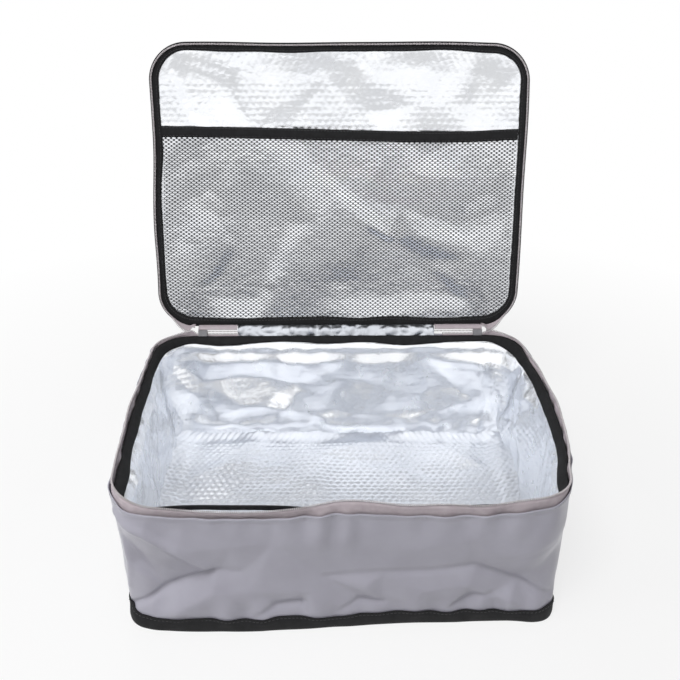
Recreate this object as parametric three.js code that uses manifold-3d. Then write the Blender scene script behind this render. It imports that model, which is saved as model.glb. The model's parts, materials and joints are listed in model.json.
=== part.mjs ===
// A soft insulated cooler bag: a flat grey tub with a zipped lid, which stands folded open past upright.
// Millimetres, +Z up. X runs along the bag, its front faces -Y, and the origin is the middle of its base,
// on the floor.
import * as THREE from "three";
import { mergeVertices } from "three/addons/utils/BufferGeometryUtils.js";
import Module from "manifold-3d";

const wasm = await Module();
wasm.setup();

// The bag over its outer fabric
const bagLength = 410;
const bagDepth = 318;
const cornerRadius = 40;
const floorCorner = 4; // corner radius of the flat middle of the base
const wallHeight = 135; // floor to the seam at the rim
const lidHeight = 13; // the lid's seam to its flat top
const openAngle = 99.5; // how far the lid is folded open, in degrees

// Layers of the walls, base and lid
const fabricThickness = 0.8;
const foamThickness = 5;
const foilThickness = 0.6;
const clearance = 0.3; // between pieces that touch on the real bag

// Bindings: black tapes folded over the seams
const bindingThickness = 1;
const skirtHeight = 14;
const rimBindingWidth = 12;
const rimBindingThickness = 2.2;
const rimBindingDrop = 6;
const lidBindingWidth = 12;
const lidBindingThickness = 1.4;

// Zip
const zipHalfWidth = 9; // from a seam to the middle of the closed zip
const tapeThickness = 0.8;
const tapeTuck = 6; // tape sewn behind the wall fabric
const coilThickness = 2.4;
const coilHeight = 1.8;
const coilGap = 0.6; // half of the gap between the two coils
const hingeLength = 238; // the middle of the back edge, where no zip runs
const hingeOffset = 3.5; // fold line of the lid behind the wall
const foldRadius = 0.5;
const linerStop = 2; // foil ends short of the fold line

// Sliders and their pull tabs
const sliderLength = 10;
const sliderWing = 1.2;
const sliderLip = 0.8;
const barRadius = 0.6;
const barDrop = 1.5; // bar below the middle of the zip
const postWidth = 1.4;
const eyeWall = 0.7;
const eyeWidth = 4;
const tabWidth = 7;
const tabLength = 30;
const tabThickness = 1.2;

// Mesh pocket inside the lid
const pocketLength = 227; // back edge of the bag to the pocket's mouth
const netThickness = 0.8;
const netPitchX = 27;
const netPitchY = 30;
const netStrand = 3.2;
const netMargin = 6; // closed edge round the net
const bandWidth = 12;
const bandWall = 0.6;

// Carry handle on the lid
const strapWidth = 30;
const strapThickness = 2.2;
const strapLength = 230; // between the sewn ends
const archLength = 156;
const archRise = 30;
const archSteps = 24;

const cornerSteps = 6;

// Insets of the layers from the wall's outer face
const tapeOut = fabricThickness + clearance;
const tapeIn = tapeOut + tapeThickness;
const tapeMiddle = (tapeOut + tapeIn) / 2;
const coilOut = tapeMiddle - coilThickness / 2;
const coilIn = tapeMiddle + coilThickness / 2;
const foamOut = tapeIn + clearance;
const foamIn = foamOut + foamThickness;
const linerOut = foamIn + clearance;
const linerIn = linerOut + foilThickness;

// Heights of the zip and of the closed lid's layers
const zipLine = wallHeight + zipHalfWidth;
const lidSeam = zipLine + zipHalfWidth;
const lidTop = lidSeam + lidHeight;
const lidFoamTop = lidTop - fabricThickness - clearance;
const lidFoamBottom = lidFoamTop - foamThickness;
const lidLinerBottom = lidFoamBottom - clearance - foilThickness;
const tapeEdge = coilGap + coilHeight + clearance; // tape's free edge, from the zip line
const sliderHalf = tapeEdge + sliderLip;
const lidBindingBottom = zipLine + sliderHalf + clearance;
const lidBindingTop = lidBindingBottom + lidBindingThickness;
const netBottom = lidBindingTop + clearance;
const netTop = netBottom + netThickness;
const upperTapeTop = lidTop - foamOut - clearance;

const backFace = bagDepth / 2;
const hingeY = backFace + hingeOffset;
const zipY = backFace - tapeMiddle;
const backRun = bagLength - 2 * cornerRadius; // straight stretch of the back
const sliderPlace = backRun / 2 - sliderLength / 2; // slider's middle, at the outer end of the back run
const lidGap = backRun + 2 * clearance; // stretch of the back where the lid carries no coil

const outerFabric = { color: 0x9a99a2, roughness: 0.5, metalness: 0 };
const blackTape = { color: 0x17171a, roughness: 0.8, metalness: 0 };
const silverFoil = { color: 0xd3d9e0, roughness: 0.3, metalness: 0.9 };
const whiteFoam = { color: 0xf2f2f0, roughness: 0.9, metalness: 0 };
const zipTape = { color: 0xa39a9c, roughness: 0.8, metalness: 0 };
const zipCoil = { color: 0xb5acae, roughness: 0.5, metalness: 0 };
const greyMetal = { color: 0x8c8b90, roughness: 0.4, metalness: 0.6 };
const blackNet = { color: 0x131315, roughness: 0.8, metalness: 0 };

function mesh(name, geometry, look) {
  const made = new THREE.Mesh(geometry, new THREE.MeshStandardMaterial(look));
  made.name = name;
  return made;
}

// Points of a rounded rectangle at height z, inset from the wall's outer face.
function ringPoints(inset, z) {
  const radius = cornerRadius - inset;
  const x = bagLength / 2 - cornerRadius;
  const y = bagDepth / 2 - cornerRadius;
  const centres = [[x, y], [-x, y], [-x, -y], [x, -y]];
  return centres.flatMap(([centreX, centreY], quarter) =>
    Array.from({ length: cornerSteps + 1 }, (_, step) => {
      const angle = ((quarter + step / cornerSteps) * Math.PI) / 2;
      return [centreX + radius * Math.cos(angle), centreY + radius * Math.sin(angle), z];
    })
  );
}

// A closed skin through rounded-rectangle rings, each given as [inset, height].
// A band's rings run up its outside and down its inside, back to the first one.
// A plate's rings run from its lower face to its upper face, which are both filled.
function ringSolid(rings, filled) {
  const points = rings.map(([inset, z]) => ringPoints(inset, z));
  const count = points[0].length;
  const triangles = [];
  const joins = filled ? rings.length - 1 : rings.length;
  for (let ring = 0; ring < joins; ring++) {
    const low = ring * count;
    const high = ((ring + 1) % rings.length) * count;
    for (let step = 0; step < count; step++) {
      const next = (step + 1) % count;
      triangles.push(low + step, low + next, high + next);
      triangles.push(low + step, high + next, high + step);
    }
  }
  if (filled) {
    const last = (rings.length - 1) * count;
    for (let step = 1; step < count - 1; step++) {
      triangles.push(0, step + 1, step);
      triangles.push(last, last + step, last + step + 1);
    }
  }
  const geometry = new THREE.BufferGeometry();
  geometry.setAttribute("position", new THREE.Float32BufferAttribute(points.flat(2), 3));
  geometry.setIndex(triangles);
  geometry.computeVertexNormals();
  return geometry;
}

const band = (rings) => ringSolid(rings, false);
const plate = (rings) => ringSolid(rings, true);

// A straight-sided band between two insets and two heights.
function wallBand(outer, inner, bottom, top) {
  return band([[outer, bottom], [outer, top], [inner, top], [inner, bottom]]);
}

function box(fromX, toX, fromY, toY, fromZ, toZ) {
  const geometry = new THREE.BoxGeometry(toX - fromX, toY - fromY, toZ - fromZ);
  return geometry.translate((fromX + toX) / 2, (fromY + toY) / 2, (fromZ + toZ) / 2);
}

function solid(geometry) {
  const bare = geometry.clone();
  bare.deleteAttribute("normal");
  bare.deleteAttribute("uv");
  const merged = mergeVertices(bare);
  return new wasm.Manifold(
    new wasm.Mesh({
      numProp: 3,
      vertProperties: merged.attributes.position.array,
      triVerts: new Uint32Array(merged.index.array),
    })
  );
}

function geometryOf(manifold) {
  const made = manifold.getMesh();
  const geometry = new THREE.BufferGeometry();
  geometry.setAttribute("position", new THREE.BufferAttribute(made.vertProperties, made.numProp));
  geometry.setIndex(new THREE.BufferAttribute(made.triVerts, 1));
  geometry.computeVertexNormals();
  return geometry;
}

const cut = (geometry, tool) => geometryOf(solid(geometry).subtract(solid(tool)));
const join = (...pieces) => geometryOf(pieces.map(solid).reduce((whole, piece) => whole.add(piece)));

// A closed polygon of [a, b] corners.
function polygon(corners) {
  return new THREE.Shape(corners.map(([a, b]) => new THREE.Vector2(a, b)));
}

// A section drawn in Y and Z, extruded along X about the middle.
function alongX(section, length) {
  const geometry = new THREE.ExtrudeGeometry(section, { depth: length, bevelEnabled: false, curveSegments: 8 });
  geometry.translate(0, 0, -length / 2);
  const turn = new THREE.Matrix4().makeBasis(
    new THREE.Vector3(0, 1, 0),
    new THREE.Vector3(0, 0, 1),
    new THREE.Vector3(1, 0, 0)
  );
  return geometry.applyMatrix4(turn);
}

// A section drawn in X and Z, extruded along Y about the middle.
function alongY(section, length) {
  const geometry = new THREE.ExtrudeGeometry(section, { depth: length, bevelEnabled: false, curveSegments: 8 });
  geometry.translate(0, 0, -length / 2);
  const turn = new THREE.Matrix4().makeBasis(
    new THREE.Vector3(1, 0, 0),
    new THREE.Vector3(0, 0, 1),
    new THREE.Vector3(0, -1, 0)
  );
  return geometry.applyMatrix4(turn);
}

// The base binding is a channel that holds the wall's hem and the base's turned-down edge.
const skirtOut = -clearance - bindingThickness;
const flangeOut = fabricThickness + clearance;
const flangeIn = flangeOut + fabricThickness;
const legOut = flangeIn + clearance;
const legIn = legOut + bindingThickness;
const hemHeight = bindingThickness + clearance;
const baseShelf = skirtHeight + clearance; // underside of the base where it passes over the channel
const shelfEdge = legIn + clearance;
const baseFlat = cornerRadius - floorCorner; // inset where the base reaches the floor

// Height of the base fabric's underside: it sags from the shelf down to the floor.
function baseRise(inset) {
  const share = (baseFlat - inset) / (baseFlat - shelfEdge);
  return baseShelf * THREE.MathUtils.clamp(share, 0, 1);
}

// A layer on the sagging base, between two heights above the base fabric's underside.
function baseLayer(from, to) {
  const edge = linerIn + clearance;
  return plate([
    [baseFlat, from],
    [edge, baseRise(edge) + from],
    [edge, baseRise(edge) + to],
    [baseFlat, to],
  ]);
}

// Height of the rim binding's underside.
function rimUnderside(inset) {
  return wallHeight - rimBindingThickness - (rimBindingDrop * (inset - foamOut)) / rimBindingWidth;
}

function baseBinding() {
  return band([
    [skirtOut, 0],
    [skirtOut, skirtHeight],
    [-clearance, skirtHeight],
    [-clearance, bindingThickness],
    [legOut, bindingThickness],
    [legOut, skirtHeight],
    [legIn, skirtHeight],
    [legIn, 0],
  ]);
}

function baseFabric() {
  return plate([
    [baseFlat, 0],
    [shelfEdge, baseShelf],
    [flangeIn, baseShelf],
    [flangeIn, hemHeight],
    [flangeOut, hemHeight],
    [flangeOut, baseShelf + fabricThickness],
    [shelfEdge, baseShelf + fabricThickness],
    [baseFlat, fabricThickness],
  ]);
}

function rimBinding() {
  const inner = foamOut + rimBindingWidth;
  return band([
    [foamOut, wallHeight - rimBindingThickness],
    [foamOut, wallHeight],
    [inner, wallHeight - rimBindingDrop],
    [inner, wallHeight - rimBindingDrop - rimBindingThickness],
  ]);
}

// A box at the back that parts a zip half over a length of the back run.
function backGap(length, bottom, top) {
  return box(-length / 2, length / 2, backFace - cornerRadius, backFace + cornerRadius, bottom, top);
}

// A zip half runs right round, apart from a gap at the back.
function zipHalf(outer, inner, bottom, top, gap) {
  const ring = wallBand(outer, inner, bottom, top);
  return cut(ring, backGap(gap, bottom - clearance, top + clearance));
}

// A strip along a line of [y, z] points, between two distances to the line's left.
function strip(line, near, far) {
  const points = line.map(([y, z]) => new THREE.Vector2(y, z));
  const normals = points.slice(1).map((point, index) => {
    const along = point.clone().sub(points[index]).normalize();
    return new THREE.Vector2(-along.y, along.x);
  });
  const offset = (distance) =>
    points.map((point, index) => {
      const before = normals[Math.max(index - 1, 0)];
      const after = normals[Math.min(index, normals.length - 1)];
      const mitre = before.clone().add(after).divideScalar(1 + before.dot(after));
      return point.clone().addScaledVector(mitre, distance);
    });
  return new THREE.Shape([...offset(near), ...offset(far).reverse()]);
}

// The lid hinges on a strip of fabric that leans out from each seam to the fold line.
// The lower leaf ends in a bead on that line, and the upper leaf stops at the bead.
const foldSide = new THREE.Vector2(zipY - hingeY, clearance - zipHalfWidth).normalize();

// The end of a leaf, short of the fold line by a distance.
function foldEnd(short) {
  return [hingeY + foldSide.x * short, zipLine + foldSide.y * short];
}

// The upper leaf is the lower one turned over about the zip line.
const turnedOver = (line) => line.map(([y, z]) => [y, 2 * zipLine - z]);

const leafLength = hingeLength - 2 * clearance;
const leafBend = [zipY, wallHeight + clearance];
const leafLiner = [leafBend, foldEnd(linerStop)];

function leafPanel(line) {
  return alongX(strip(line, -tapeThickness / 2, tapeThickness / 2), leafLength);
}

function hingePanelLower() {
  const bead = new THREE.CylinderGeometry(foldRadius, foldRadius, leafLength, 12).rotateZ(Math.PI / 2);
  bead.translate(0, hingeY, zipLine);
  return join(leafPanel([[zipY, wallHeight - tapeTuck], leafBend, foldEnd(0)]), bead);
}

function hingePanelUpper() {
  const tucked = 2 * zipLine - upperTapeTop;
  return leafPanel(turnedOver([[zipY, tucked], leafBend, foldEnd(foldRadius + clearance)]));
}

// Foil on the inside of a leaf, which is the left of the lower one and the right of the upper one.
function leafFoil(line, side) {
  const near = side * (tapeThickness / 2 + clearance);
  return alongX(strip(line, near, near + side * foilThickness), leafLength);
}

// Beside the hinge the zip stays closed as far as the slider. There the upper coil, with the edge of its
// tape, stays with the tub, and the lid's tape is parted from it along the line where it bends.
function closedZip(side) {
  const from = hingeLength / 2 + clearance;
  const half = coilThickness / 2;
  const tape = tapeThickness / 2;
  const section = polygon([
    [-half, coilGap],
    [half, coilGap],
    [half, coilGap + coilHeight],
    [tape, coilGap + coilHeight],
    [tape, sliderHalf],
    [-tape, sliderHalf],
    [-tape, coilGap + coilHeight],
    [-half, coilGap + coilHeight],
  ]);
  const run = alongX(section, sliderPlace - from);
  return run.translate((side * (sliderPlace + from)) / 2, zipY, zipLine);
}

function upperZipTape() {
  const bottom = zipLine + tapeEdge;
  const tape = zipHalf(tapeOut, tapeIn, bottom, upperTapeTop, hingeLength);
  return cut(tape, backGap(lidGap, bottom - clearance, zipLine + sliderHalf + clearance));
}

function tub() {
  const group = new THREE.Group();
  const baseFoamBottom = fabricThickness + clearance;
  const baseFoamTop = baseFoamBottom + foamThickness;
  const floorBottom = baseFoamTop + clearance;
  const foamBottom = baseShelf + fabricThickness + clearance;
  const tapeBottom = wallHeight - tapeTuck;
  const coilBottom = zipLine - coilGap - coilHeight;
  group.add(
    mesh("body_wall_fabric", wallBand(0, fabricThickness, hemHeight, wallHeight), outerFabric),
    mesh("wall_insulation", wallBand(foamOut, foamIn, foamBottom, rimUnderside(foamIn) - clearance), whiteFoam),
    mesh("wall_liner", wallBand(linerOut, linerIn, foamBottom, rimUnderside(linerIn) - clearance), silverFoil),
    mesh("base_fabric", baseFabric(), outerFabric),
    mesh("base_insulation", baseLayer(baseFoamBottom, baseFoamTop), whiteFoam),
    mesh("floor_liner", baseLayer(floorBottom, floorBottom + foilThickness), silverFoil),
    mesh("base_binding", baseBinding(), blackTape),
    mesh("rim_binding", rimBinding(), blackTape),
    mesh("lower_zip_tape", zipHalf(tapeOut, tapeIn, tapeBottom, zipLine - tapeEdge, hingeLength), zipTape),
    mesh("lower_zip_coil", zipHalf(coilOut, coilIn, coilBottom, zipLine - coilGap, hingeLength), zipCoil),
    mesh("closed_zip_left", closedZip(-1), zipCoil),
    mesh("closed_zip_right", closedZip(1), zipCoil),
    mesh("hinge_panel_lower", hingePanelLower(), outerFabric),
    mesh("hinge_liner_lower", leafFoil(leafLiner, 1), silverFoil)
  );
  return group;
}

function lidFabric() {
  const bend = lidTop - foamOut;
  return plate([
    [foamOut, lidTop - fabricThickness],
    [fabricThickness, bend],
    [fabricThickness, lidSeam],
    [0, lidSeam],
    [0, bend],
    [foamOut, lidTop],
  ]);
}

const netInset = foamOut + clearance;
const mouthY = backFace - pocketLength;
const netFrontY = mouthY + bandWall + clearance;

// The net's outline: square at the mouth, round at the lid's two back corners.
function netOutline(inset) {
  const x = bagLength / 2 - inset;
  const y = backFace - inset;
  const radius = cornerRadius - inset;
  const shape = new THREE.Shape();
  shape.moveTo(-x, netFrontY);
  shape.lineTo(x, netFrontY);
  shape.lineTo(x, y - radius);
  shape.absarc(x - radius, y - radius, radius, 0, Math.PI / 2, false);
  shape.lineTo(-x + radius, y);
  shape.absarc(-x + radius, y - radius, radius, Math.PI / 2, Math.PI, false);
  shape.closePath();
  return shape;
}

// Whether a point of the net is clear of its closed edge.
function inNet(x, y) {
  const inset = netInset + netMargin;
  const radius = cornerRadius - inset;
  const overX = Math.max(Math.abs(x) - (bagLength / 2 - cornerRadius), 0);
  const overY = Math.max(y - (backFace - cornerRadius), 0);
  return Math.hypot(overX, overY) <= radius && y >= mouthY + bandWidth + clearance;
}

// A flat net of diamond gaps in staggered rows.
function meshPocket() {
  const shape = netOutline(netInset);
  const halfX = netPitchX / 2 - netStrand;
  const halfY = netPitchY / 2 - netStrand;
  const rows = Math.ceil((2 * bagDepth) / netPitchY);
  const columns = Math.ceil(bagLength / netPitchX);
  for (let row = 0; row <= rows; row++) {
    const y = backFace - netInset - netMargin - halfY - (row * netPitchY) / 2;
    for (let column = -columns; column <= columns; column++) {
      const x = (column + (row % 2) / 2) * netPitchX;
      const corners = [[x + halfX, y], [x, y + halfY], [x - halfX, y], [x, y - halfY]];
      if (corners.every(([a, b]) => inNet(a, b))) {
        shape.holes.push(polygon(corners));
      }
    }
  }
  const geometry = new THREE.ExtrudeGeometry(shape, {
    depth: netThickness,
    bevelEnabled: false,
    curveSegments: cornerSteps,
  });
  return geometry.translate(0, 0, netBottom);
}

// The pocket's mouth is bound by a band folded over the net's edge.
function pocketBinding() {
  const low = netBottom - clearance;
  const high = netTop + clearance;
  const back = mouthY + bandWidth;
  const section = polygon([
    [mouthY, low - bandWall],
    [back, low - bandWall],
    [back, low],
    [mouthY + bandWall, low],
    [mouthY + bandWall, high],
    [back, high],
    [back, high + bandWall],
    [mouthY, high + bandWall],
  ]);
  const end = foamOut + lidBindingWidth + clearance;
  return alongX(section, bagLength - 2 * end);
}

// Webbing that lies flat at its sewn ends and arches between them.
function carryHandle() {
  const low = lidTop + clearance;
  const half = archLength / 2;
  const under = [];
  const over = [];
  for (let step = 0; step <= archSteps; step++) {
    const share = (2 * step) / archSteps - 1;
    const z = low + archRise * (1 - share ** 4) ** 2;
    const slope = (-8 * share ** 3 * (1 - share ** 4) * archRise) / half;
    const lean = Math.atan(slope);
    under.push([share * half, z]);
    over.unshift([share * half - strapThickness * Math.sin(lean), z + strapThickness * Math.cos(lean)]);
  }
  const end = strapLength / 2;
  const section = polygon([
    [-end, low],
    ...under,
    [end, low],
    [end, low + strapThickness],
    ...over,
    [-end, low + strapThickness],
  ]);
  return alongY(section, strapWidth);
}

// The lid is drawn closed, then folded open about its hinge line.
function lid() {
  const closed = new THREE.Group();
  const bindingIn = foamOut + lidBindingWidth;
  const coilBottom = zipLine + coilGap;
  closed.add(
    mesh("lid_fabric", lidFabric(), outerFabric),
    mesh("lid_insulation", plate([[foamOut, lidFoamBottom], [foamOut, lidFoamTop]]), whiteFoam),
    mesh("lid_liner", plate([[foamOut, lidLinerBottom], [foamOut, lidLinerBottom + foilThickness]]), silverFoil),
    mesh("lid_binding", wallBand(foamOut, bindingIn, lidBindingBottom, lidBindingTop), blackTape),
    mesh("upper_zip_tape", upperZipTape(), zipTape),
    mesh("upper_zip_coil", zipHalf(coilOut, coilIn, coilBottom, coilBottom + coilHeight, lidGap), zipCoil),
    mesh("hinge_panel_upper", hingePanelUpper(), outerFabric),
    mesh("hinge_liner_upper", leafFoil(turnedOver(leafLiner), -1), silverFoil),
    mesh("mesh_pocket", meshPocket(), blackNet),
    mesh("pocket_binding", pocketBinding(), blackTape),
    mesh("carry_handle", carryHandle(), blackTape)
  );
  closed.position.set(0, -hingeY, -zipLine);
  const hinge = new THREE.Group();
  hinge.position.set(0, hingeY, zipLine);
  hinge.rotation.x = -THREE.MathUtils.degToRad(openAngle);
  hinge.add(closed);
  return hinge;
}

// Distances of a slider's faces from the middle of the zip
const wingIn = coilThickness / 2 + clearance;
const wingOut = wingIn + sliderWing;
const eyeIn = barRadius + clearance;
const eyeOut = eyeIn + eyeWall;
const barOut = wingOut + clearance + eyeOut;

// Two wings joined by a web between the coils, lips that grip the tapes, and a bar for the pull tab.
function sliderBody() {
  const web = coilGap - clearance;
  const lip = tapeThickness / 2 + clearance;
  const quarter = [[lip, sliderHalf], [lip, tapeEdge], [wingIn, tapeEdge], [wingIn, web]];
  const flip = (corners, y, z) => corners.map(([a, b]) => [a * y, b * z]);
  const section = polygon([
    ...quarter,
    ...flip(quarter, -1, 1).reverse(),
    [-wingOut, sliderHalf],
    [-wingOut, -sliderHalf],
    ...flip(quarter, -1, -1),
    ...flip(quarter, 1, -1).reverse(),
    [wingOut, -sliderHalf],
    [wingOut, sliderHalf],
  ]);
  const wings = alongX(section, sliderLength);
  const barLength = sliderLength - postWidth;
  const bar = new THREE.CylinderGeometry(barRadius, barRadius, barLength, 8).rotateZ(Math.PI / 2);
  bar.translate(0, barOut, -barDrop);
  const posts = [-1, 1].map((side) => {
    const x = (side * barLength) / 2;
    const half = postWidth / 2;
    const inside = (wingIn + wingOut) / 2;
    const end = barOut + barRadius;
    return box(x - half, x + half, inside, end, -barDrop - barRadius, -barDrop + barRadius);
  });
  return join(wings, bar, ...posts);
}

// A flat tab with a round end, hung by its eye on the slider's bar.
function pullTab() {
  const eye = new THREE.Shape().absarc(0, 0, eyeOut, 0, 2 * Math.PI, false);
  eye.holes.push(new THREE.Path().absarc(0, 0, eyeIn, 0, 2 * Math.PI, true));
  const top = -(eyeIn + eyeOut) / 2;
  const half = tabWidth / 2;
  const blade = new THREE.Shape();
  blade.moveTo(half, top);
  blade.lineTo(-half, top);
  blade.lineTo(-half, half - tabLength);
  blade.absarc(0, half - tabLength, half, Math.PI, 2 * Math.PI, false);
  blade.closePath();
  return join(alongX(eye, eyeWidth), alongY(blade, tabThickness));
}

function sliderSet(name, side) {
  const group = new THREE.Group();
  group.position.set(side * sliderPlace, zipY, zipLine);
  const tab = mesh(`pull_tab_${name}`, pullTab(), greyMetal);
  tab.position.set(0, barOut, -barDrop);
  group.add(mesh(`slider_${name}`, sliderBody(), greyMetal), tab);
  return group;
}

const coolerBag = new THREE.Group();
coolerBag.add(tub(), lid(), sliderSet("left", -1), sliderSet("right", 1));

export default coolerBag;
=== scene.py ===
"""The looks of a soft cooler bag, which stands with its zipped lid folded open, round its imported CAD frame.

Sizes here are millimetres, in the frame's own axes: X along the bag, its front towards -Y, +Z up.
Meshes are written in metres. Lid pieces are shaped closed and then folded open about the lid's hinge.
"""

import json
import math

import bpy
import numpy as np
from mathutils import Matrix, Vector
from mathutils.geometry import delaunay_2d_cdt


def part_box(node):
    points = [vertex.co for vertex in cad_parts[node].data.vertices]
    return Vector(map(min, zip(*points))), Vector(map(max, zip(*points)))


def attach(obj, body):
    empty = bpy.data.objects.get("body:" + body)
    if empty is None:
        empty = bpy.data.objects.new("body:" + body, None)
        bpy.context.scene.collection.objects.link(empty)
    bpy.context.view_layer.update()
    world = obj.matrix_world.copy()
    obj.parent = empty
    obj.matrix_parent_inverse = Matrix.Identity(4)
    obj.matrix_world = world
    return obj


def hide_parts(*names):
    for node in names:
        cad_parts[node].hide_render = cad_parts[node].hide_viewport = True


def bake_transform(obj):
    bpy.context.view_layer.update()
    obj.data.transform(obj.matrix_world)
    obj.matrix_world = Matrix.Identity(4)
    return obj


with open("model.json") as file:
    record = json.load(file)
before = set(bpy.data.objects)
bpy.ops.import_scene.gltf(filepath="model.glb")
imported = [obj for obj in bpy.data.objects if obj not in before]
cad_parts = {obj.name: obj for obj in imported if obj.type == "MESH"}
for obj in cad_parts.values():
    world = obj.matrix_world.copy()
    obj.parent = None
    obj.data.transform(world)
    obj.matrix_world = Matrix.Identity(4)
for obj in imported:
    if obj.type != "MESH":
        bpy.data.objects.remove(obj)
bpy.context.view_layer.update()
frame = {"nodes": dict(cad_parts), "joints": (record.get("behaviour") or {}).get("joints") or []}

MM = 0.001


def node_box(node):
    """The lowest and highest corner of a CAD node, in millimetres."""
    low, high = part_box(node)
    return np.array(low) / MM, np.array(high) / MM


# Driving sizes, from the frame
wall_low, wall_high = node_box("body_wall_fabric")
LENGTH, DEPTH = (wall_high - wall_low)[:2]
SEAM = wall_high[2]  # height of the seam at the rim
HINGE = next(joint for joint in frame["joints"] if joint["name"] == "lid_hinge")
HINGE_Y = HINGE["pos_m"][1] / MM
ZIP_LINE = HINGE["pos_m"][2] / MM
OPEN = math.radians(HINGE["range_deg"][1])
SKIRT = node_box("base_binding")[1][2]  # height of the binding round the base
HINGE_HALF = node_box("hinge_panel_lower")[1][0]  # half of the hinge's length
HINGE_ENDS = (-HINGE_HALF - 1.0, HINGE_HALF - 9.0)  # the shown strip lies a little to the left
SLIDER_IN = node_box("slider_right")[0][0]  # inner end of the right slider

# Layers, as insets from the wall's outer face
CORNER = 40.0
FABRIC = 0.8
FOIL = 0.6
FOAM = 5.0
TAPE_INSET = 1.5
FOAM_INSET = 2.2
LINER_INSET = 7.8
BINDING = 12.0  # width of the black tapes
ZIP_HALF = ZIP_LINE - SEAM
LID_SEAM = ZIP_LINE + ZIP_HALF
LID_TOP = LID_SEAM + 13.0
BACK = DEPTH / 2
TAPE_Y = BACK - TAPE_INSET  # where the zip tapes stand along the back
FLAT_X = LENGTH / 2 - CORNER  # half of the straight front
FLAT_Y = DEPTH / 2 - CORNER
ARC = CORNER * math.pi / 2
AROUND = 4 * (FLAT_X + FLAT_Y + ARC)
# Ways round from the front's middle to the middle of a front corner, of a side and of a back corner
FRONT_CORNER = FLAT_X + ARC / 2
SIDE_MIDDLE = FLAT_X + ARC + FLAT_Y
BACK_CORNER = AROUND / 2 - FRONT_CORNER
SIDES = ((-1, "left"), (1, "right"))


# Smooth steps

def hill(t, middle, width):
    """1 at a middle, falling off to 0 within about twice a width."""
    return np.exp(-(((t - middle) / width) ** 2))


def ease(t, start, end):
    """0 before start, 1 after end, smooth between."""
    share = np.clip((t - start) / (end - start), 0, 1)
    return share * share * (3 - 2 * share)


# Places on the bag

def outline(s):
    """Points on the wall's outline and their outward directions, s anticlockwise from the front's middle."""
    s = np.mod(np.asarray(s, float) + FLAT_X, AROUND)
    point = np.zeros((*s.shape, 2))
    outward = np.zeros((*s.shape, 2))
    start = 0.0
    for side in range(4):
        half, reach = (FLAT_X, DEPTH / 2) if side % 2 == 0 else (FLAT_Y, LENGTH / 2)
        turn = side * math.pi / 2
        along = np.array([math.cos(turn), math.sin(turn)])
        out = np.array([math.sin(turn), -math.cos(turn)])
        here = (s >= start) & (s < start + 2 * half + ARC)
        run = s[here] - start
        angle = np.clip((run - 2 * half) / CORNER, 0, None)[:, None]
        facing = out * np.cos(angle) + along * np.sin(angle)
        straight = np.clip(run, None, 2 * half)[:, None] - half
        point[here] = out * (reach - CORNER) + along * straight + CORNER * facing
        outward[here] = facing
        start += 2 * half + ARC
    return point, outward


def around(s, inset, z):
    """Points at insets from the wall's outline and at heights, one row for each s."""
    point, outward = outline(s)
    flat = point[:, None, :] - outward[:, None, :] * inset[..., None]
    return np.concatenate([flat, z[..., None]], axis=-1)


def inset_of(x, y):
    """How far inside the wall's outline a point lies."""
    over_x = np.abs(x) - FLAT_X
    over_y = np.abs(y) - FLAT_Y
    beyond = np.hypot(np.clip(over_x, 0, None), np.clip(over_y, 0, None))
    return CORNER - beyond - np.clip(np.maximum(over_x, over_y), None, 0)


LID_SHORT = (2.6, 1.6)  # how far the lid's front and back edges are drawn in
LID_LEAN = 5.0  # how far its left edge leans out towards the hinge
LID_HELD = 40.0  # they are drawn in only further than this from its middle


def opened(points):
    """Points of the closed lid, drawn in a little and folded open about the hinge line."""
    turned = np.array(points, float)
    front, back = (ease(side * turned[..., 1], LID_HELD, BACK) for side in (-1, 1))
    drawn = LID_SHORT[0] * front - LID_SHORT[1] * back
    turned[..., 0] -= LID_LEAN * ease(-turned[..., 0], 60, LENGTH / 2) * ease(turned[..., 1], -60, 60)
    y = turned[..., 1] + drawn - HINGE_Y
    z = turned[..., 2] - ZIP_LINE
    turned[..., 1] = HINGE_Y + math.cos(OPEN) * y + math.sin(OPEN) * z
    turned[..., 2] = ZIP_LINE - math.sin(OPEN) * y + math.cos(OPEN) * z
    return turned


# Fields of folds

def from_front(s):
    """The way round from the front's middle, from minus half to half of the way round."""
    return np.mod(np.asarray(s, float) + AROUND / 2, AROUND) - AROUND / 2


def profile(s, places, soft=12.0):
    """A smooth line round the rim through (s, value) places, 0 beyond them."""
    at, value = np.array(places, float).T
    offsets = np.linspace(-soft, soft, 7)
    return np.mean([np.interp(from_front(s + offset), at, value, 0, 0) for offset in offsets], axis=0)


def ring_wave(s, seed, slow=3, quick=14):
    """A seeded wave round the rim, mostly within -1 and 1."""
    rng = np.random.default_rng(seed)
    turns = np.arange(slow, quick)
    phase = rng.uniform(0, 2 * math.pi, len(turns))
    size = rng.normal(size=len(turns)) / math.sqrt(len(turns))
    return (size * np.sin(2 * math.pi * turns * np.asarray(s)[..., None] / AROUND + phase)).sum(-1)


def off_back(s):
    """0 along the straight back run, where the zip and the hinge stay true, and 1 elsewhere."""
    return ease(AROUND / 2 - np.abs(from_front(s)), FLAT_X + 10, FLAT_X + 60)


SAME_POINT = 1e-4  # points of a field this close are one
MARGIN = 1e-6  # how far past its edges a facet still counts
NO_AREA = 1e-9


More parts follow.
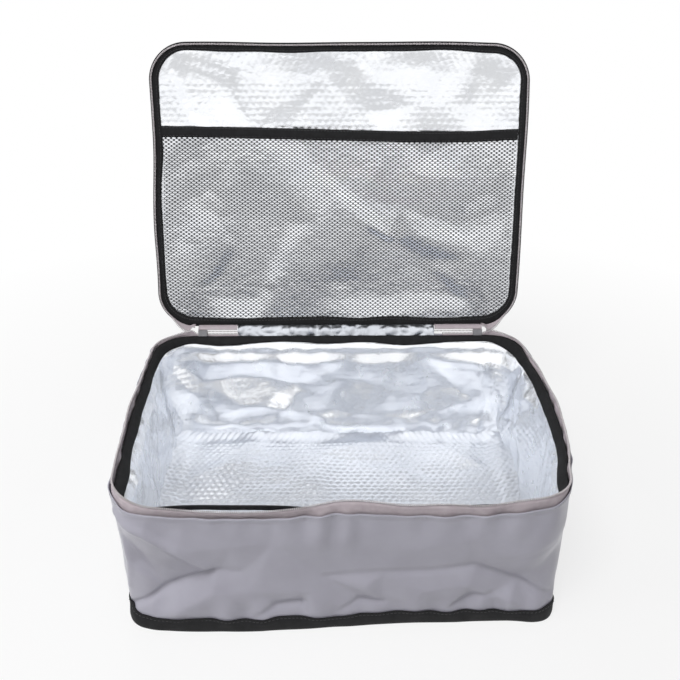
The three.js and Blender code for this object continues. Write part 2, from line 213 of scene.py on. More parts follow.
def facets(points, heights, us, vs, creases=()):
    """Heights over a grid, flat between scattered points, with creases kept as edges."""
    corners, _, faces, sources, _, _ = delaunay_2d_cdt(
        [Vector(point) for point in points], list(creases), [], 0, SAME_POINT
    )
    known = [np.mean([heights[k] for k in source]) if source else 0.0 for source in sources]
    field = np.zeros((len(us), len(vs)))
    for face in faces:
        (au, av), (bu, bv), (cu, cv) = (corners[k] for k in face)
        whole = (bu - au) * (cv - av) - (cu - au) * (bv - av)
        u0, u1 = np.searchsorted(us, [min(au, bu, cu) - MARGIN, max(au, bu, cu) + MARGIN])
        v0, v1 = np.searchsorted(vs, [min(av, bv, cv) - MARGIN, max(av, bv, cv) + MARGIN])
        if u0 == u1 or v0 == v1 or abs(whole) < NO_AREA:
            continue
        u = us[u0:u1, None] - au
        v = vs[None, v0:v1] - av
        b = (u * (cv - av) - v * (cu - au)) / whole
        c = (v * (bu - au) - u * (bv - av)) / whole
        inside = (b >= -MARGIN) & (c >= -MARGIN) & (b + c <= 1 + MARGIN)
        ha, hb, hc = (known[k] for k in face)
        field[u0:u1, v0:v1][inside] = (ha + b * (hb - ha) + c * (hc - ha))[inside]
    return field


JITTER = 0.4  # how far scattered points stray, as a share of their spacing


def scattered(us, vs, spacing, height, seed):
    """Seeded points about a spacing apart over a grid, and past its edges, with heights."""
    rng = np.random.default_rng(seed)
    span = us[-1] - us[0]
    columns = max(int(round(span / spacing)), 2)
    rows = int((vs[-1] - vs[0]) / spacing) + 3
    column, row = np.meshgrid(np.arange(columns), np.arange(rows), indexing="ij")
    stagger = 0.5 * (row % 2)
    u = us[0] + (column + stagger + rng.uniform(-JITTER, JITTER, column.shape)) * span / columns
    v = vs[0] + (row - 1 + rng.uniform(-JITTER, JITTER, column.shape)) * spacing
    heights = rng.uniform(-height, height, column.shape)
    copies = (-span, 0, span)
    points = np.concatenate([np.column_stack([u.ravel() + shift, v.ravel()]) for shift in copies])
    near = (points[:, 0] > us[0] - 2 * spacing) & (points[:, 0] < us[-1] + 2 * spacing)
    return points[near], np.tile(heights.ravel(), len(copies))[near]


def folded(us, vs, folds, spacing, height, seed, clear=24.0):
    """Heights over a grid with given creases, and seeded facets away from them."""
    points, heights = scattered(us, vs, spacing, height, seed)
    placed = np.array([point for fold in folds for point in fold], float)
    away = np.hypot(*(points[:, None, :] - placed[None, :, :2]).transpose(2, 0, 1)).min(1)
    points = np.concatenate([placed[:, :2], points[away > clear]])
    heights = np.concatenate([placed[:, 2], heights[away > clear]])
    return facets(points, heights, us, vs, crease_edges(folds))


def crease_edges(folds):
    """Index pairs along each fold, for points listed fold after fold."""
    edges = []
    start = 0
    for fold in folds:
        edges += [(start + k, start + k + 1) for k in range(len(fold) - 1)]
        start += len(fold)
    return edges


def crumple(us, vs, spacing, height, seed):
    """Crumpled heights over a grid: flat facets about a spacing across."""
    points, heights = scattered(us, vs, spacing, height, seed)
    return facets(points, heights, us, vs)


def blur(field, rounds, wrap=False):
    """A field with its creases softened."""
    for _ in range(rounds):
        for axis in (0, 1):
            mode = "wrap" if wrap and axis == 0 else "edge"
            padding = [(1, 1) if k == axis else (0, 0) for k in range(2)]
            padded = np.pad(field, padding, mode=mode)
            first, middle, last = (
                np.take(padded, np.arange(k, k + field.shape[axis]), axis) for k in range(3)
            )
            field = (first + 2 * middle + last) / 4
    return field


def sampled(field, us, vs, u, v):
    """Values of a gridded field at any points."""
    i = np.clip((u - us[0]) / (us[1] - us[0]), 0, len(us) - 1.001)
    j = np.clip((v - vs[0]) / (vs[1] - vs[0]), 0, len(vs) - 1.001)
    i0 = i.astype(int)
    j0 = j.astype(int)
    fi = i - i0
    fj = j - j0
    low = field[i0, j0] * (1 - fi) + field[i0 + 1, j0] * fi
    high = field[i0, j0 + 1] * (1 - fi) + field[i0 + 1, j0 + 1] * fi
    return low * (1 - fj) + high * fj


CREASE_GRID = 2.0  # spacing of the grids that hold the foil's creases


def plan_grid(spacing):
    """Places along X and along Y that cover the bag's plan."""
    return [np.arange(-size / 2, size / 2 + 2, spacing) for size in (LENGTH, DEPTH)]


BUBBLE_PITCH = 7.5
BUBBLE_RADIUS = 3.7
BUBBLE_RISE = 0.8
FLOOR_BUBBLE_RISE = 1.3


def bubbles(u, v):
    """Domes from 0 to 1 on a staggered lattice, as the bubble foam behind foil pushes through."""
    row_pitch = BUBBLE_PITCH * math.sqrt(3) / 2
    nearest = np.full(np.broadcast(u, v).shape, np.inf)
    for stagger in (0.0, 0.5):
        row = 2 * np.round((v / row_pitch - 2 * stagger) / 2) + 2 * stagger
        column = np.round(u / BUBBLE_PITCH - stagger) + stagger
        away = np.hypot(u - column * BUBBLE_PITCH, v - row * row_pitch)
        nearest = np.minimum(nearest, away)
    return np.clip(1 - (nearest / BUBBLE_RADIUS) ** 2, 0, None) ** 2


# Meshes

def put(name, data):
    """A new object in the scene."""
    thing = bpy.data.objects.new(name, data)
    bpy.context.scene.collection.objects.link(thing)
    return thing


def make_object(name, points, faces, material, uv=None, smooth=True, place=None):
    """A mesh piece from points in millimetres, moved by place, its faces turned outwards."""
    points = np.asarray(points, float).reshape(-1, 3)
    if place:
        points = place(points)
    volume = 0.0
    for group in faces:
        for k in range(1, group.shape[1] - 1):
            a, b, c = points[group[:, 0]], points[group[:, k]], points[group[:, k + 1]]
            volume += float((a * np.cross(b, c)).sum())
    if volume < 0:
        faces = [group[:, ::-1] for group in faces]
        uv = [group[:, ::-1] for group in uv] if uv is not None else None
    mesh = bpy.data.meshes.new(name)
    mesh.from_pydata((points * MM).tolist(), [], [face for group in faces for face in group.tolist()])
    if uv is not None:
        layer = mesh.uv_layers.new(name="UVMap")
        layer.data.foreach_set("uv", np.concatenate([group.reshape(-1) for group in uv]) * MM)
    mesh.polygons.foreach_set("use_smooth", [smooth] * len(mesh.polygons))
    mesh.materials.append(material)
    return put(name, mesh)


def grid_faces(rows, columns, close_rows=False, close_columns=False):
    """Quads of a grid, and the grid places of their corners."""
    i, j = np.meshgrid(
        np.arange(rows if close_rows else rows - 1),
        np.arange(columns if close_columns else columns - 1),
        indexing="ij",
    )
    place_i = np.stack([i, i + 1, i + 1, i], -1).reshape(-1, 4)
    place_j = np.stack([j, j, j + 1, j + 1], -1).reshape(-1, 4)
    return (place_i % rows) * columns + place_j % columns, place_i, place_j


def left_of(path):
    """Directions to the left of a path's points, of length 1."""
    ahead = np.gradient(path, axis=-2)
    ahead /= np.linalg.norm(ahead, axis=-1, keepdims=True)
    return np.stack([-ahead[..., 1], ahead[..., 0]], -1)


def strip_section(path, thickness, taper=0.0):
    """Closed sections of a strip: its left side up the path, its right side back down.
    Taper thins a rounded edge at both ends of the path."""
    share = np.linspace(-1, 1, path.shape[1])
    half = thickness / 2 * (1 - taper * np.abs(share) ** 6)
    side = left_of(path) * half[None, :, None]
    return np.concatenate([path + side, (path - side)[:, ::-1]], axis=1)


def path_lengths(path):
    """Distance along the middle one of many paths."""
    middle = path[len(path) // 2]
    steps = np.linalg.norm(np.diff(middle, axis=0), axis=1)
    return np.concatenate([[0.0], np.cumsum(steps)])


def ring_strip(name, s, path, thickness, material, closed=True, taper=0.0, place=None):
    """A strip sewn round the bag: paths of (inset, z) at each s, given a thickness."""
    section = strip_section(path, thickness, taper)
    points = around(s, section[..., 0], section[..., 1])
    return strip_object(name, points, s, path_lengths(path), material, closed, place)


def straight_strip(name, x, path, thickness, material, taper=0.0, place=None):
    """A strip along X: paths of (y, z) at each x, given a thickness."""
    section = strip_section(path, thickness, taper)
    points = np.concatenate([np.broadcast_to(x[:, None, None], (*section.shape[:2], 1)), section], -1)
    return strip_object(name, points, x, path_lengths(path), material, False, place)


def ring_paths(s, corners):
    """Paths round the bag through corners, each given as an inset and a height for every s."""
    full = [[np.broadcast_to(value, s.shape) for value in corner] for corner in corners]
    return np.stack([np.stack(corner, -1) for corner in full], axis=1)


def strip_object(name, points, along, lengths, material, closed, place=None):
    """A closed skin through rows of closed sections, capped where the rows don't meet."""
    rows, columns = points.shape[:2]
    quads, place_i, place_j = grid_faces(rows, columns, close_rows=closed, close_columns=True)
    u = np.append(along, along[0] + AROUND) if closed else along
    v = np.concatenate([lengths, lengths[::-1], lengths[:1]])
    faces = [quads]
    uv = [np.stack([u[place_i], v[place_j]], -1)]
    if not closed:
        for row, order in ((0, 1), (rows - 1, -1)):
            ends = (np.arange(columns // 2 - 1), columns - 1 - np.arange(columns // 2 - 1))
            cap = np.stack([ends[0], ends[1], ends[1] - 1, ends[0] + 1], -1)[:, ::order]
            faces.append(cap + row * columns)
            uv.append(np.stack([np.full(cap.shape, u[row]), v[cap]], -1))
    return make_object(name, points, faces, material, uv, place=place)


CORNER_STEPS = 15


def panel_grid(inset, cell):
    """X and Y of a grid that fills the outline at an inset, its edge rows bent round the corners."""
    half_x = LENGTH / 2 - inset
    radius = CORNER - inset
    turn = np.linspace(0, math.pi / 2, CORNER_STEPS)[1:]
    straight = np.linspace(-FLAT_Y, FLAT_Y, int(2 * FLAT_Y / cell))
    rounded = FLAT_Y + radius * np.sin(turn)
    y = np.concatenate([-rounded[::-1], straight, rounded])
    over = np.clip(np.abs(y) - FLAT_Y, 0, radius)
    reach = FLAT_X + np.sqrt(radius**2 - over**2)
    share = np.linspace(-1, 1, int(2 * half_x / cell))
    return share[:, None] * reach[None, :], np.repeat(y[None, :], len(share), axis=0)


def lifted(height, by):
    """A height over x and y, raised evenly."""
    return lambda x, y: height(x, y) + by


def panel_object(name, inset, cell, upper, lower, material, edge=(), place=None):
    """A sheet that fills the outline at an inset, between two heights given over x and y.
    The edge is a list of (inset, z) rings that join the upper face's border to the lower face's."""
    x, y = panel_grid(inset, cell)
    rows, columns = x.shape
    quads, _, _ = grid_faces(rows, columns)
    index = np.arange(rows * columns).reshape(rows, columns)
    border = np.concatenate([index[:-1, 0], index[-1, :-1], index[:0:-1, -1], index[0, :0:-1]])
    flat = np.stack([x.ravel(), y.ravel()], -1)
    centre = np.clip(flat[border], [-FLAT_X, -FLAT_Y], [FLAT_X, FLAT_Y])
    facing = flat[border] - centre
    facing /= np.linalg.norm(facing, axis=1, keepdims=True)
    rings = []
    for ring_inset, ring_z in edge:
        ring = centre + facing * (CORNER - ring_inset)
        rings.append(np.column_stack([ring, np.full(len(border), ring_z)]))
    points = np.concatenate(
        [
            np.column_stack([flat, upper(x, y).ravel()]),
            np.column_stack([flat, lower(x, y).ravel()]),
            *rings,
        ]
    )
    size = rows * columns
    loops = [border]
    loops += [2 * size + k * len(border) + np.arange(len(border)) for k in range(len(rings))]
    loops.append(border + size)
    faces = [quads, quads[:, ::-1] + size]
    for near, far in zip(loops, loops[1:]):
        faces.append(np.stack([near, far, np.roll(far, -1), np.roll(near, -1)], -1))
    uv_of = np.concatenate([flat, flat, *[ring[:, :2] for ring in rings]])
    uv = [uv_of[group] for group in faces]
    return make_object(name, points, faces, material, uv, place=place)


PILL_RINGS = ((-1.0, 0.3), (-0.8, 0.8), (0.0, 1.0), (0.8, 0.8), (1.0, 0.3))
PILL_SIDES = 6


def pills(name, origins, along, outward, size, material, place=None):
    """Small rounded bodies of a (length, width, height), such as stitches or zip teeth, in one piece."""
    across = np.cross(outward, along)
    angle = np.arange(PILL_SIDES) * 2 * math.pi / PILL_SIDES
    length, width, height = np.array(size) / 2
    ring = np.column_stack([np.ones(PILL_SIDES), np.cos(angle), np.sin(angle)])
    local = np.concatenate([ring * (t * length, r * width, r * height) for t, r in PILL_RINGS])
    axes = np.stack([along, across, outward], axis=1)
    points = origins[:, None, :] + np.einsum("vk,nkc->nvc", local, axes)
    quads, _, _ = grid_faces(len(PILL_RINGS), PILL_SIDES, close_columns=True)
    ends = np.array([np.arange(PILL_SIDES)[::-1], np.arange(PILL_SIDES) + len(local) - PILL_SIDES])
    offset = (np.arange(len(origins)) * len(local))[:, None, None]
    faces = [(group[None] + offset).reshape(-1, group.shape[1]) for group in (quads, ends)]
    return make_object(name, points, faces, material, place=place)


def straight_row(name, origins, facing, size, material, place=None):
    """Small rounded bodies that lie along X and face one way."""
    ahead = np.tile([1.0, 0.0, 0.0], (len(origins), 1))
    return pills(name, origins, ahead, np.tile(facing, (len(origins), 1)), size, material, place)


STITCH_PITCH = 3.6
STITCH = (2.4, 0.7, 0.5)


def stitch_row(name, s, inset, z, material, lie=0.0, place=None, pitch=STITCH_PITCH, size=STITCH):
    """Stitches in a row round the bag, at (inset, z) lines; lie turns them from the wall to a level face."""
    way = np.arange(s[0], s[-1], pitch)
    middle = around(way, np.interp(way, s, inset)[:, None], np.interp(way, s, z)[:, None])[:, 0]
    ahead = np.roll(middle, -1, axis=0) - middle
    ahead[-1] = ahead[-2]
    ahead /= np.linalg.norm(ahead, axis=1, keepdims=True)
    facing = np.column_stack([outline(way)[1] * math.cos(lie), np.full(len(way), math.sin(lie))])
    facing -= ahead * (facing * ahead).sum(1, keepdims=True)
    facing /= np.linalg.norm(facing, axis=1, keepdims=True)
    return pills(name, middle, ahead, facing, size, material, place)


def finish_piece(piece, body, slot, *nodes):
    """Rides a piece on its body, and hides the CAD nodes that it stands for."""
    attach(piece, body)
    label(piece, slot, *nodes)
    return piece


def label(piece, slot, *nodes):
    """Hides the CAD nodes that a piece stands for; the slot is not used."""
    if nodes:
        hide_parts(*nodes)
    return piece


# Materials

def feed(tree, socket, value):
    """Links a socket to another, or sets it to a value."""
    if isinstance(value, bpy.types.NodeSocket):
        tree.links.new(value, socket)
    else:
        socket.default_value = value


def add(tree, kind, settings=None, **inputs):
    """A new shader node. An input is a value, or a socket to link."""
    node = tree.nodes.new(kind)
    for key, value in (settings or {}).items():
        setattr(node, key, value)
    for key, value in inputs.items():
        feed(tree, node.inputs[key.replace("_", " ")], value)
    return node


def combine(tree, operation, *values):
    """The result of a math operation on values or sockets."""
    node = add(tree, "ShaderNodeMath", {"operation": operation})
    for socket, value in zip(node.inputs, values):
        feed(tree, socket, value)
    return node.outputs[0]


def noise(tree, where, size, detail=3.0, roughness=0.55):
    """Cloudy noise with features of a size in millimetres."""
    node = add(
        tree, "ShaderNodeTexNoise", Vector=where, Scale=1 / (size * MM), Detail=detail, Roughness=roughness
    )
    return node.outputs["Fac"]


def ridges(tree, where, pitch, direction, bend=0.0):
    """Even ridges of a pitch in millimetres."""
    node = add(
        tree,
        "ShaderNodeTexWave",
        {"wave_type": "BANDS", "bands_direction": direction},
        Vector=where,
        Scale=math.pi / 10 / (pitch * MM),
        Distortion=bend,
    )
    return node.outputs["Fac"]


TINT_SPAN = (0.3, 0.7)  # the part of a noise's range over which a colour changes


def tint(tree, shader, factor, dark, light):
    """Colours the shader between two colours."""
    ramp = add(tree, "ShaderNodeValToRGB", Fac=factor)
    for element, position, color in zip(ramp.color_ramp.elements, TINT_SPAN, (dark, light)):
        element.position = position
        element.color = (*color, 1)
    tree.links.new(ramp.outputs["Color"], shader.inputs["Base Color"])


def vary(tree, shader, factor, low, high):
    """Varies the shader's roughness between two values."""
    node = add(tree, "ShaderNodeMapRange", Value=factor, To_Min=low, To_Max=high)
    tree.links.new(node.outputs["Result"], shader.inputs["Roughness"])


def relief(tree, shader, *layers):
    """Bumps of (height, depth in millimetres, strength), one on another."""
    normal = None
    for height, depth, strength in layers:
        node = add(tree, "ShaderNodeBump", Height=height, Distance=depth * MM, Strength=strength)
        if normal is not None:
            tree.links.new(normal, node.inputs["Normal"])
        normal = node.outputs["Normal"]
    tree.links.new(normal, shader.inputs["Normal"])


def clouded(name, space, dark, light, gloss, sizes, **sockets):
    """A material with clouds of two sizes in its colour and gloss, over its UV map or in its object's space.
    Constants are set on the shader's own sockets."""
    material = bpy.data.materials.new(name)
    material.use_nodes = True
    tree = material.node_tree
    shader = tree.nodes["Principled BSDF"]
    for key, value in sockets.items():
        shader.inputs[key.replace("_", " ")].default_value = value
    where = add(tree, "ShaderNodeUVMap" if space == "UV" else "ShaderNodeTexCoord").outputs[space]
    colour_size, gloss_size = sizes
    tint(tree, shader, noise(tree, where, colour_size), dark, light)
    vary(tree, shader, noise(tree, where, gloss_size), *gloss)
    return material, tree, shader, where


def woven(name, dark, light, gloss, pitch, depth, **sockets):
    """Cloth with a plain weave."""
    material, tree, shader, where = clouded(name, "UV", dark, light, gloss, (45.0, 14.0), **sockets)
    weave = combine(tree, "MULTIPLY", ridges(tree, where, pitch, "X"), ridges(tree, where, pitch, "Y"))
    relief(tree, shader, (noise(tree, where, 5.0), 0.25, 0.25), (weave, depth, 0.5))
    return material


def ribbed(name, dark, light, gloss, pitch, depth, **sockets):
    """Woven tape with ribs across it."""
    material, tree, shader, where = clouded(name, "UV", dark, light, gloss, (6.0, 9.0), **sockets)
    rib = ridges(tree, where, pitch, "X")
    thread = ridges(tree, where, pitch * 0.6, "Y", 1.5)
    relief(tree, shader, (rib, depth, 0.6), (thread, depth * 0.5, 0.4))
    return material


def plain(name, dark, light, gloss, grain, depth, **sockets):
    """A moulded, sewn or painted surface with a fine grain."""
    sizes = (grain * 6, grain * 3)
    material, tree, shader, where = clouded(name, "Object", dark, light, gloss, sizes, **sockets)
    relief(tree, shader, (noise(tree, where, grain), depth, 0.5))
    return material


WRINKLE_TURN = 0.6  # radians from the foil's own length


def wrinkles(tree, where, size, stretch):
    """Ridges that run along curved lines, from 0 to 1, of a size in millimetres."""
    turned = add(
        tree, "ShaderNodeMapping", Vector=where, Rotation=(0, 0, WRINKLE_TURN), Scale=(1.0, 1 / stretch, 1.0)
    )
    cloud = noise(tree, turned.outputs["Vector"], size, 2.0, 0.5)
    return combine(tree, "ABSOLUTE", combine(tree, "MULTIPLY_ADD", cloud, 2.0, -1.0))


def foil_material(name, dark, light, gloss):
    """Aluminium film with fine creases."""
    material, tree, shader, where = clouded(name, "UV", dark, light, gloss, (60.0, 25.0), Metallic=1.0)
    long = wrinkles(tree, where, 42.0, 1.5)
    short = wrinkles(tree, where, 15.0, 0.8)
    relief(tree, shader, (long, 2.0, 0.5), (short, 0.8, 0.5))
    return material


GREY = woven("grey_fabric", (0.29, 0.283, 0.33), (0.33, 0.323, 0.375), (0.3, 0.42), 0.9, 0.06)
BLACK = ribbed(
    "black_tape",
    (0.004, 0.004, 0.0045),
    (0.009, 0.009, 0.010),
    (0.7, 0.9),
    1.1,
    0.12,
    Specular_IOR_Level=0.3,
)
ZIP_TAPE = ribbed("zip_tape", (0.365, 0.315, 0.34), (0.425, 0.375, 0.40), (0.6, 0.75), 0.9, 0.08)
COIL = plain("zip_coil", (0.40, 0.37, 0.38), (0.47, 0.44, 0.45), (0.35, 0.5), 1.2, 0.03)
FOIL_LOOK = foil_material("silver_foil", (0.87, 0.89, 0.93), (0.935, 0.95, 0.975), (0.2, 0.32))
# The floor's foil is the same foil as the walls and the lid, painted darker as painted shade in the tub's
# floor, with a duller gloss.
FLOOR_FOIL_PAINTED_SHADE = foil_material("silver_foil_painted_floor_shade", (0.70, 0.725, 0.775), (0.79, 0.81, 0.85), (0.3, 0.42))
# The hinge's foil is the same foil painted much darker, as painted shade between the lid and the rim.
HINGE_FOIL_PAINTED_SHADE = foil_material("silver_foil_painted_hinge_shade", (0.44, 0.46, 0.50), (0.56, 0.58, 0.62), (0.25, 0.38))
FOAM_LOOK = plain("white_foam", (0.80, 0.80, 0.78), (0.88, 0.88, 0.86), (0.8, 0.95), 1.5, 0.2)
NET_LOOK = plain("black_net", (0.010, 0.010, 0.012), (0.022, 0.022, 0.025), (0.45, 0.65), 0.5, 0.08)
THREAD = plain("black_thread", (0.012, 0.012, 0.013), (0.024, 0.024, 0.026), (0.4, 0.6), 0.4, 0.05)
GREY_THREAD = plain("grey_thread", (0.20, 0.20, 0.22), (0.28, 0.28, 0.30), (0.45, 0.6), 0.4, 0.05)
WEBBING = ribbed(
    "webbing", (0.006, 0.006, 0.007), (0.012, 0.012, 0.013), (0.6, 0.8), 1.6, 0.25, Specular_IOR_Level=0.35
)
METAL = plain("grey_metal", (0.235, 0.23, 0.24), (0.29, 0.282, 0.292), (0.3, 0.45), 0.8, 0.03)


# The tub's walls

WALL_ROWS = 60
WALL_STEPS = 640
HEM = 3.0  # lower edge of the wall, inside the base binding
FOLD_GRID = 2.2

# Folds on the front, as (s, height, how far out), each line a ridge or a valley
FRONT_FOLDS = (
    ((-205, 122, 1.0), (-172, 113, 5.5), (-147, 95, 6.0), (-122, 72, 1.5)),
    ((-118, 66, -3.0), (-140, 54, -6.0), (-159, 43, -8.0), (-180, 28, -6.5), (-202, 15, -1.0)),
    ((-110, 67, -1.5), (-92, 65, -1.0)),
    ((-16, 58, -1.5), (35, 62, -2.0), (90, 65, -2.5), (119, 68, -4.0)),
    ((123, 70, -3.0), (155, 79, 1.0), (190, 90, 2.5)),
    ((124, 65, -4.5), (158, 47, -6.5), (196, 26, -1.0)),
    ((-160, 108, 2.0), (-136, 117, 1.5)),
    ((-78, 18, 0.5), (-58, 28, -2.5), (-38, 30, -2.0)),
    ((0, 21, 0.5), (16, 30, -3.0), (36, 27, -1.5)),
    ((101, 22, 0.5), (118, 32, -2.5), (134, 33, -1.5)),
    ((-199, 104, 0.5), (-196, 66, -1.0), (-202, 36, -1.0)),
)
# Swells between the folds
FRONT_SWELLS = (
    (-186, 72, -7.5), (-158, 70, -3.0), (-100, 96, 1.5), (-60, 98, 1.0), (-20, 100, 1.5), (20, 105, 0.5),
    (55, 90, 1.0), (110, 104, 1.5), (155, 112, 1.5), (-150, 24, 2.5), (-118, 44, 3.0), (-84, 46, 2.0),
    (-30, 44, 1.5), (20, 46, 1.5), (70, 42, 2.0), (112, 48, 1.5), (168, 62, -1.5), (150, 28, 2.0),
    (-100, 22, 1.5), (70, 20, 1.0),
)
# Sharp pleats along the deepest of these folds, as (number of the fold, depth)
PLEATS = (
    (0, -2.6), (10, -1.4), (1, 2.8), (2, 1.2), (3, 1.2), (4, 0.8), (5, 2.2), (7, 2.0), (8, 2.0), (9, 1.8),
)
PLEAT_HALF = 5.0
FRONT_END = 215.0  # where the listed folds end
# Base further out, as (s, how far out)
FLARE = (
    (-330, 0), (-270, -3), (-235, -4), (-215, -2), (-190, 0), (-150, 5), (-95, 6), (-40, 3), (0, 0),
    (60, -4), (130, -5), (190, -6), (235, -5), (270, -3), (330, 0),
)
# Base tucked in under the sides, beside the front corners
TUCK = (
    (-340, 0), (-300, -3), (-260, -5), (-228, -5), (-205, 0),
    (205, 0), (228, -5), (260, -5), (300, -3), (340, 0),
)
# How the seam and the free edge of the tub's tape sag, as (s, how far up)
SAG = (
    (-215, 0), (-177, -3), (-128, -8), (-75, -9), (-35, -7), (1, -3),
    (37, -5), (67, -7), (114, -7), (153, -3), (195, 0),
)
TAPE_DROP = (
    (-215, 0), (-167, -3), (-115, -9), (-75, -9), (-34, -4.5), (1, 0.5),
    (26, 0.5), (59, -4), (121, -4), (152, 0), (195, 2), (225, 0),
)
CORNER_DENT = {-1: -1.0, 1: 5.0}  # at mid height, left and right
CORNER_TOE = {-1: 4.0, 1: 6.0}  # at the base in front, left and right
FOLD_DEPTH = 1.35
# Seeded folds of the sides and the back: the heights they scatter over, how far apart and how deep they are
SIDE_BAND = (34.0, 104.0)
SIDE_FACET = 47.0
SIDE_DEPTH = 3.6
# Nearly flat points along the base and the rim: how far past the ends of the way round, and how far apart
EDGE_PAST = 100
EDGE_STEP = 23.0
BACK_LIFT = 5.0  # how far the hinge draws the rim up along the back
# Where the rim is bent further out, as (s, how far)
RIM_BENDS = (
    (-500, 0), (-470, 4), (-430, 2), (-400, 0), (-370, -1.5), (-320, 0), (150, 0),
    (200, -3), (230, -3), (262, 3), (300, 5), (350, 3.5), (400, 3), (440, 0),
)
SIDE_BOW = 10.5  # how far the rim bows out at the sides
CORNER_BOW = 4.0


def rim_out(s):
    """How far the open rim bows out at the sides and at the back corners."""
    way = np.abs(from_front(s))
    bow = SIDE_BOW * hill(way, SIDE_MIDDLE + 20, 110.0) * off_back(s)
    return bow + CORNER_BOW * hill(way, BACK_CORNER, 22.0) + profile(s, RIM_BENDS)


def seam_at(s):
    """Height of the rim's seam: it sags in front and is drawn up along the back."""
    return SEAM + profile(s, SAG) + BACK_LIFT * rim_rise(s)


def rim_height(s):
    """Height of the rim's binding, which stays up behind the sagging seam."""
    return SEAM + BACK_LIFT * rim_rise(s)


def along_back(s):
    """0 in front and on the sides, 1 along the back."""
    return ease(np.abs(from_front(s)), BACK_CORNER - 10, BACK_CORNER + 30)


def rim_rise(s):
    """0 in front, 1 along the back, where the hinge draws the rim up."""
    return ease(np.abs(from_front(s)), SIDE_MIDDLE - 30, BACK_CORNER - 10)


def pleat(us, vs, fold):
    """A sharp groove along a fold, 1 at its line and 0 beyond its half width."""
    here = np.stack(np.meshgrid(us, vs, indexing="ij"), -1)
    line = np.array(fold)[:, :2]
    nearest = np.full(here.shape[:2], np.inf)
    for start, end in zip(line, line[1:]):
        span = end - start
        share = np.clip(((here - start) @ span) / (span @ span), 0, 1)
        nearest = np.minimum(nearest, np.linalg.norm(here - start - share[..., None] * span, axis=-1))
    return np.clip(1 - nearest / PLEAT_HALF, 0, None)


def fold_points():
    """Points (s, height, how far out) of the wall's folds: listed in front, and seeded on the other
    sides and, nearly flat, along the base and the rim."""
    points = [point for fold in FRONT_FOLDS for point in fold] + list(FRONT_SWELLS)
    rng = np.random.default_rng(11)
    for s in np.arange(-AROUND / 2 - EDGE_PAST, AROUND / 2 + EDGE_PAST, EDGE_STEP):
        for z in (0.0, SKIRT, SEAM - 1, SEAM + 20):
            points.append((s + rng.uniform(-6, 6), z, rng.uniform(-0.4, 0.4)))
    way = np.linspace(FRONT_END, AROUND - FRONT_END, 9)
    sides, heights = scattered(way, np.array(SIDE_BAND), SIDE_FACET, SIDE_DEPTH, 5)
    for (s, z), height in zip(sides, heights):
        if way[0] < s < way[-1] and 26 < z < SEAM - 14:
            points += [(s, z, height), (s - AROUND, z, height)]
    return points


def gathers(us, vs):
    """Small gathers along the base and the rim, and fine crinkles between them."""
    front = ring_wave(us, 16, 45, 75) * hill(from_front(us), 5.0, 75.0)
    field = 2.2 * front[:, None] * hill(vs, SEAM - 20, 22.0)
    field += 1.5 * ring_wave(us, 12, 25, 55)[:, None] * (hill(vs, SKIRT + 7, 13.0) * ease(vs, 2, SKIRT))
    field += 1.3 * ring_wave(us, 13, 30, 60)[:, None] * hill(vs, SEAM - 14, 15.0)
    crinkles = crumple(us, vs, 26.0, 0.7, 14) + crumple(us, vs, 12.0, 0.22, 15)
    return field + blur(crinkles, 1, wrap=True) * np.sin(math.pi * vs / SEAM)


def wall_fold_field():
    """How far the wall stands out, over the way round and the height."""
    us = np.linspace(-AROUND / 2, AROUND / 2, int(AROUND / FOLD_GRID))
    vs = np.linspace(0, SEAM, int(SEAM / FOLD_GRID))
    points = np.array(fold_points())
    field = FOLD_DEPTH * facets(points[:, :2], points[:, 2], us, vs, crease_edges(FRONT_FOLDS))
    field = blur(field, 1, wrap=True)
    for number, depth in PLEATS:
        field -= depth * pleat(us, vs, FRONT_FOLDS[number])
    field += gathers(us, vs)
    for side, _ in SIDES:
        for middle in (FRONT_CORNER, BACK_CORNER):
            field -= CORNER_DENT[side] * hill(us, side * middle, 26.0)[:, None] * hill(vs, 70.0, 26.0)
        toe = hill(us, side * (FRONT_CORNER - 6.0), 18.0)[:, None]
        field += CORNER_TOE[side] * toe * (1 - ease(vs, 0, 60))
    flare = profile(us, FLARE)[:, None] * (1 - ease(vs, 0, 75))[None, :]
    flare += profile(us, TUCK, 6.0)[:, None] * (1 - ease(vs, 8, 30))[None, :]
    return us, vs, field + flare + rim_out(us)[:, None] * ease(vs, 10, SEAM)[None, :]


FOLD_S, FOLD_Z, FOLDS = wall_fold_field()
RING = np.linspace(-AROUND / 2, AROUND / 2, WALL_STEPS, endpoint=False)


def wall_out(s, z):
    """How far out from the true wall the bag's folded wall stands."""
    return sampled(FOLDS, FOLD_S, FOLD_Z, from_front(s), z)


def wall_paths(s, inset, bottom, top, rows):
    """Paths up the folded wall at an inset, from a bottom to a top height at each s."""
    share = np.linspace(0, 1, rows)[None, :]
    z = bottom + share * (np.broadcast_to(top, s.shape)[:, None] - bottom)
    return np.stack([inset - wall_out(np.repeat(s[:, None], rows, axis=1), z), z], -1)


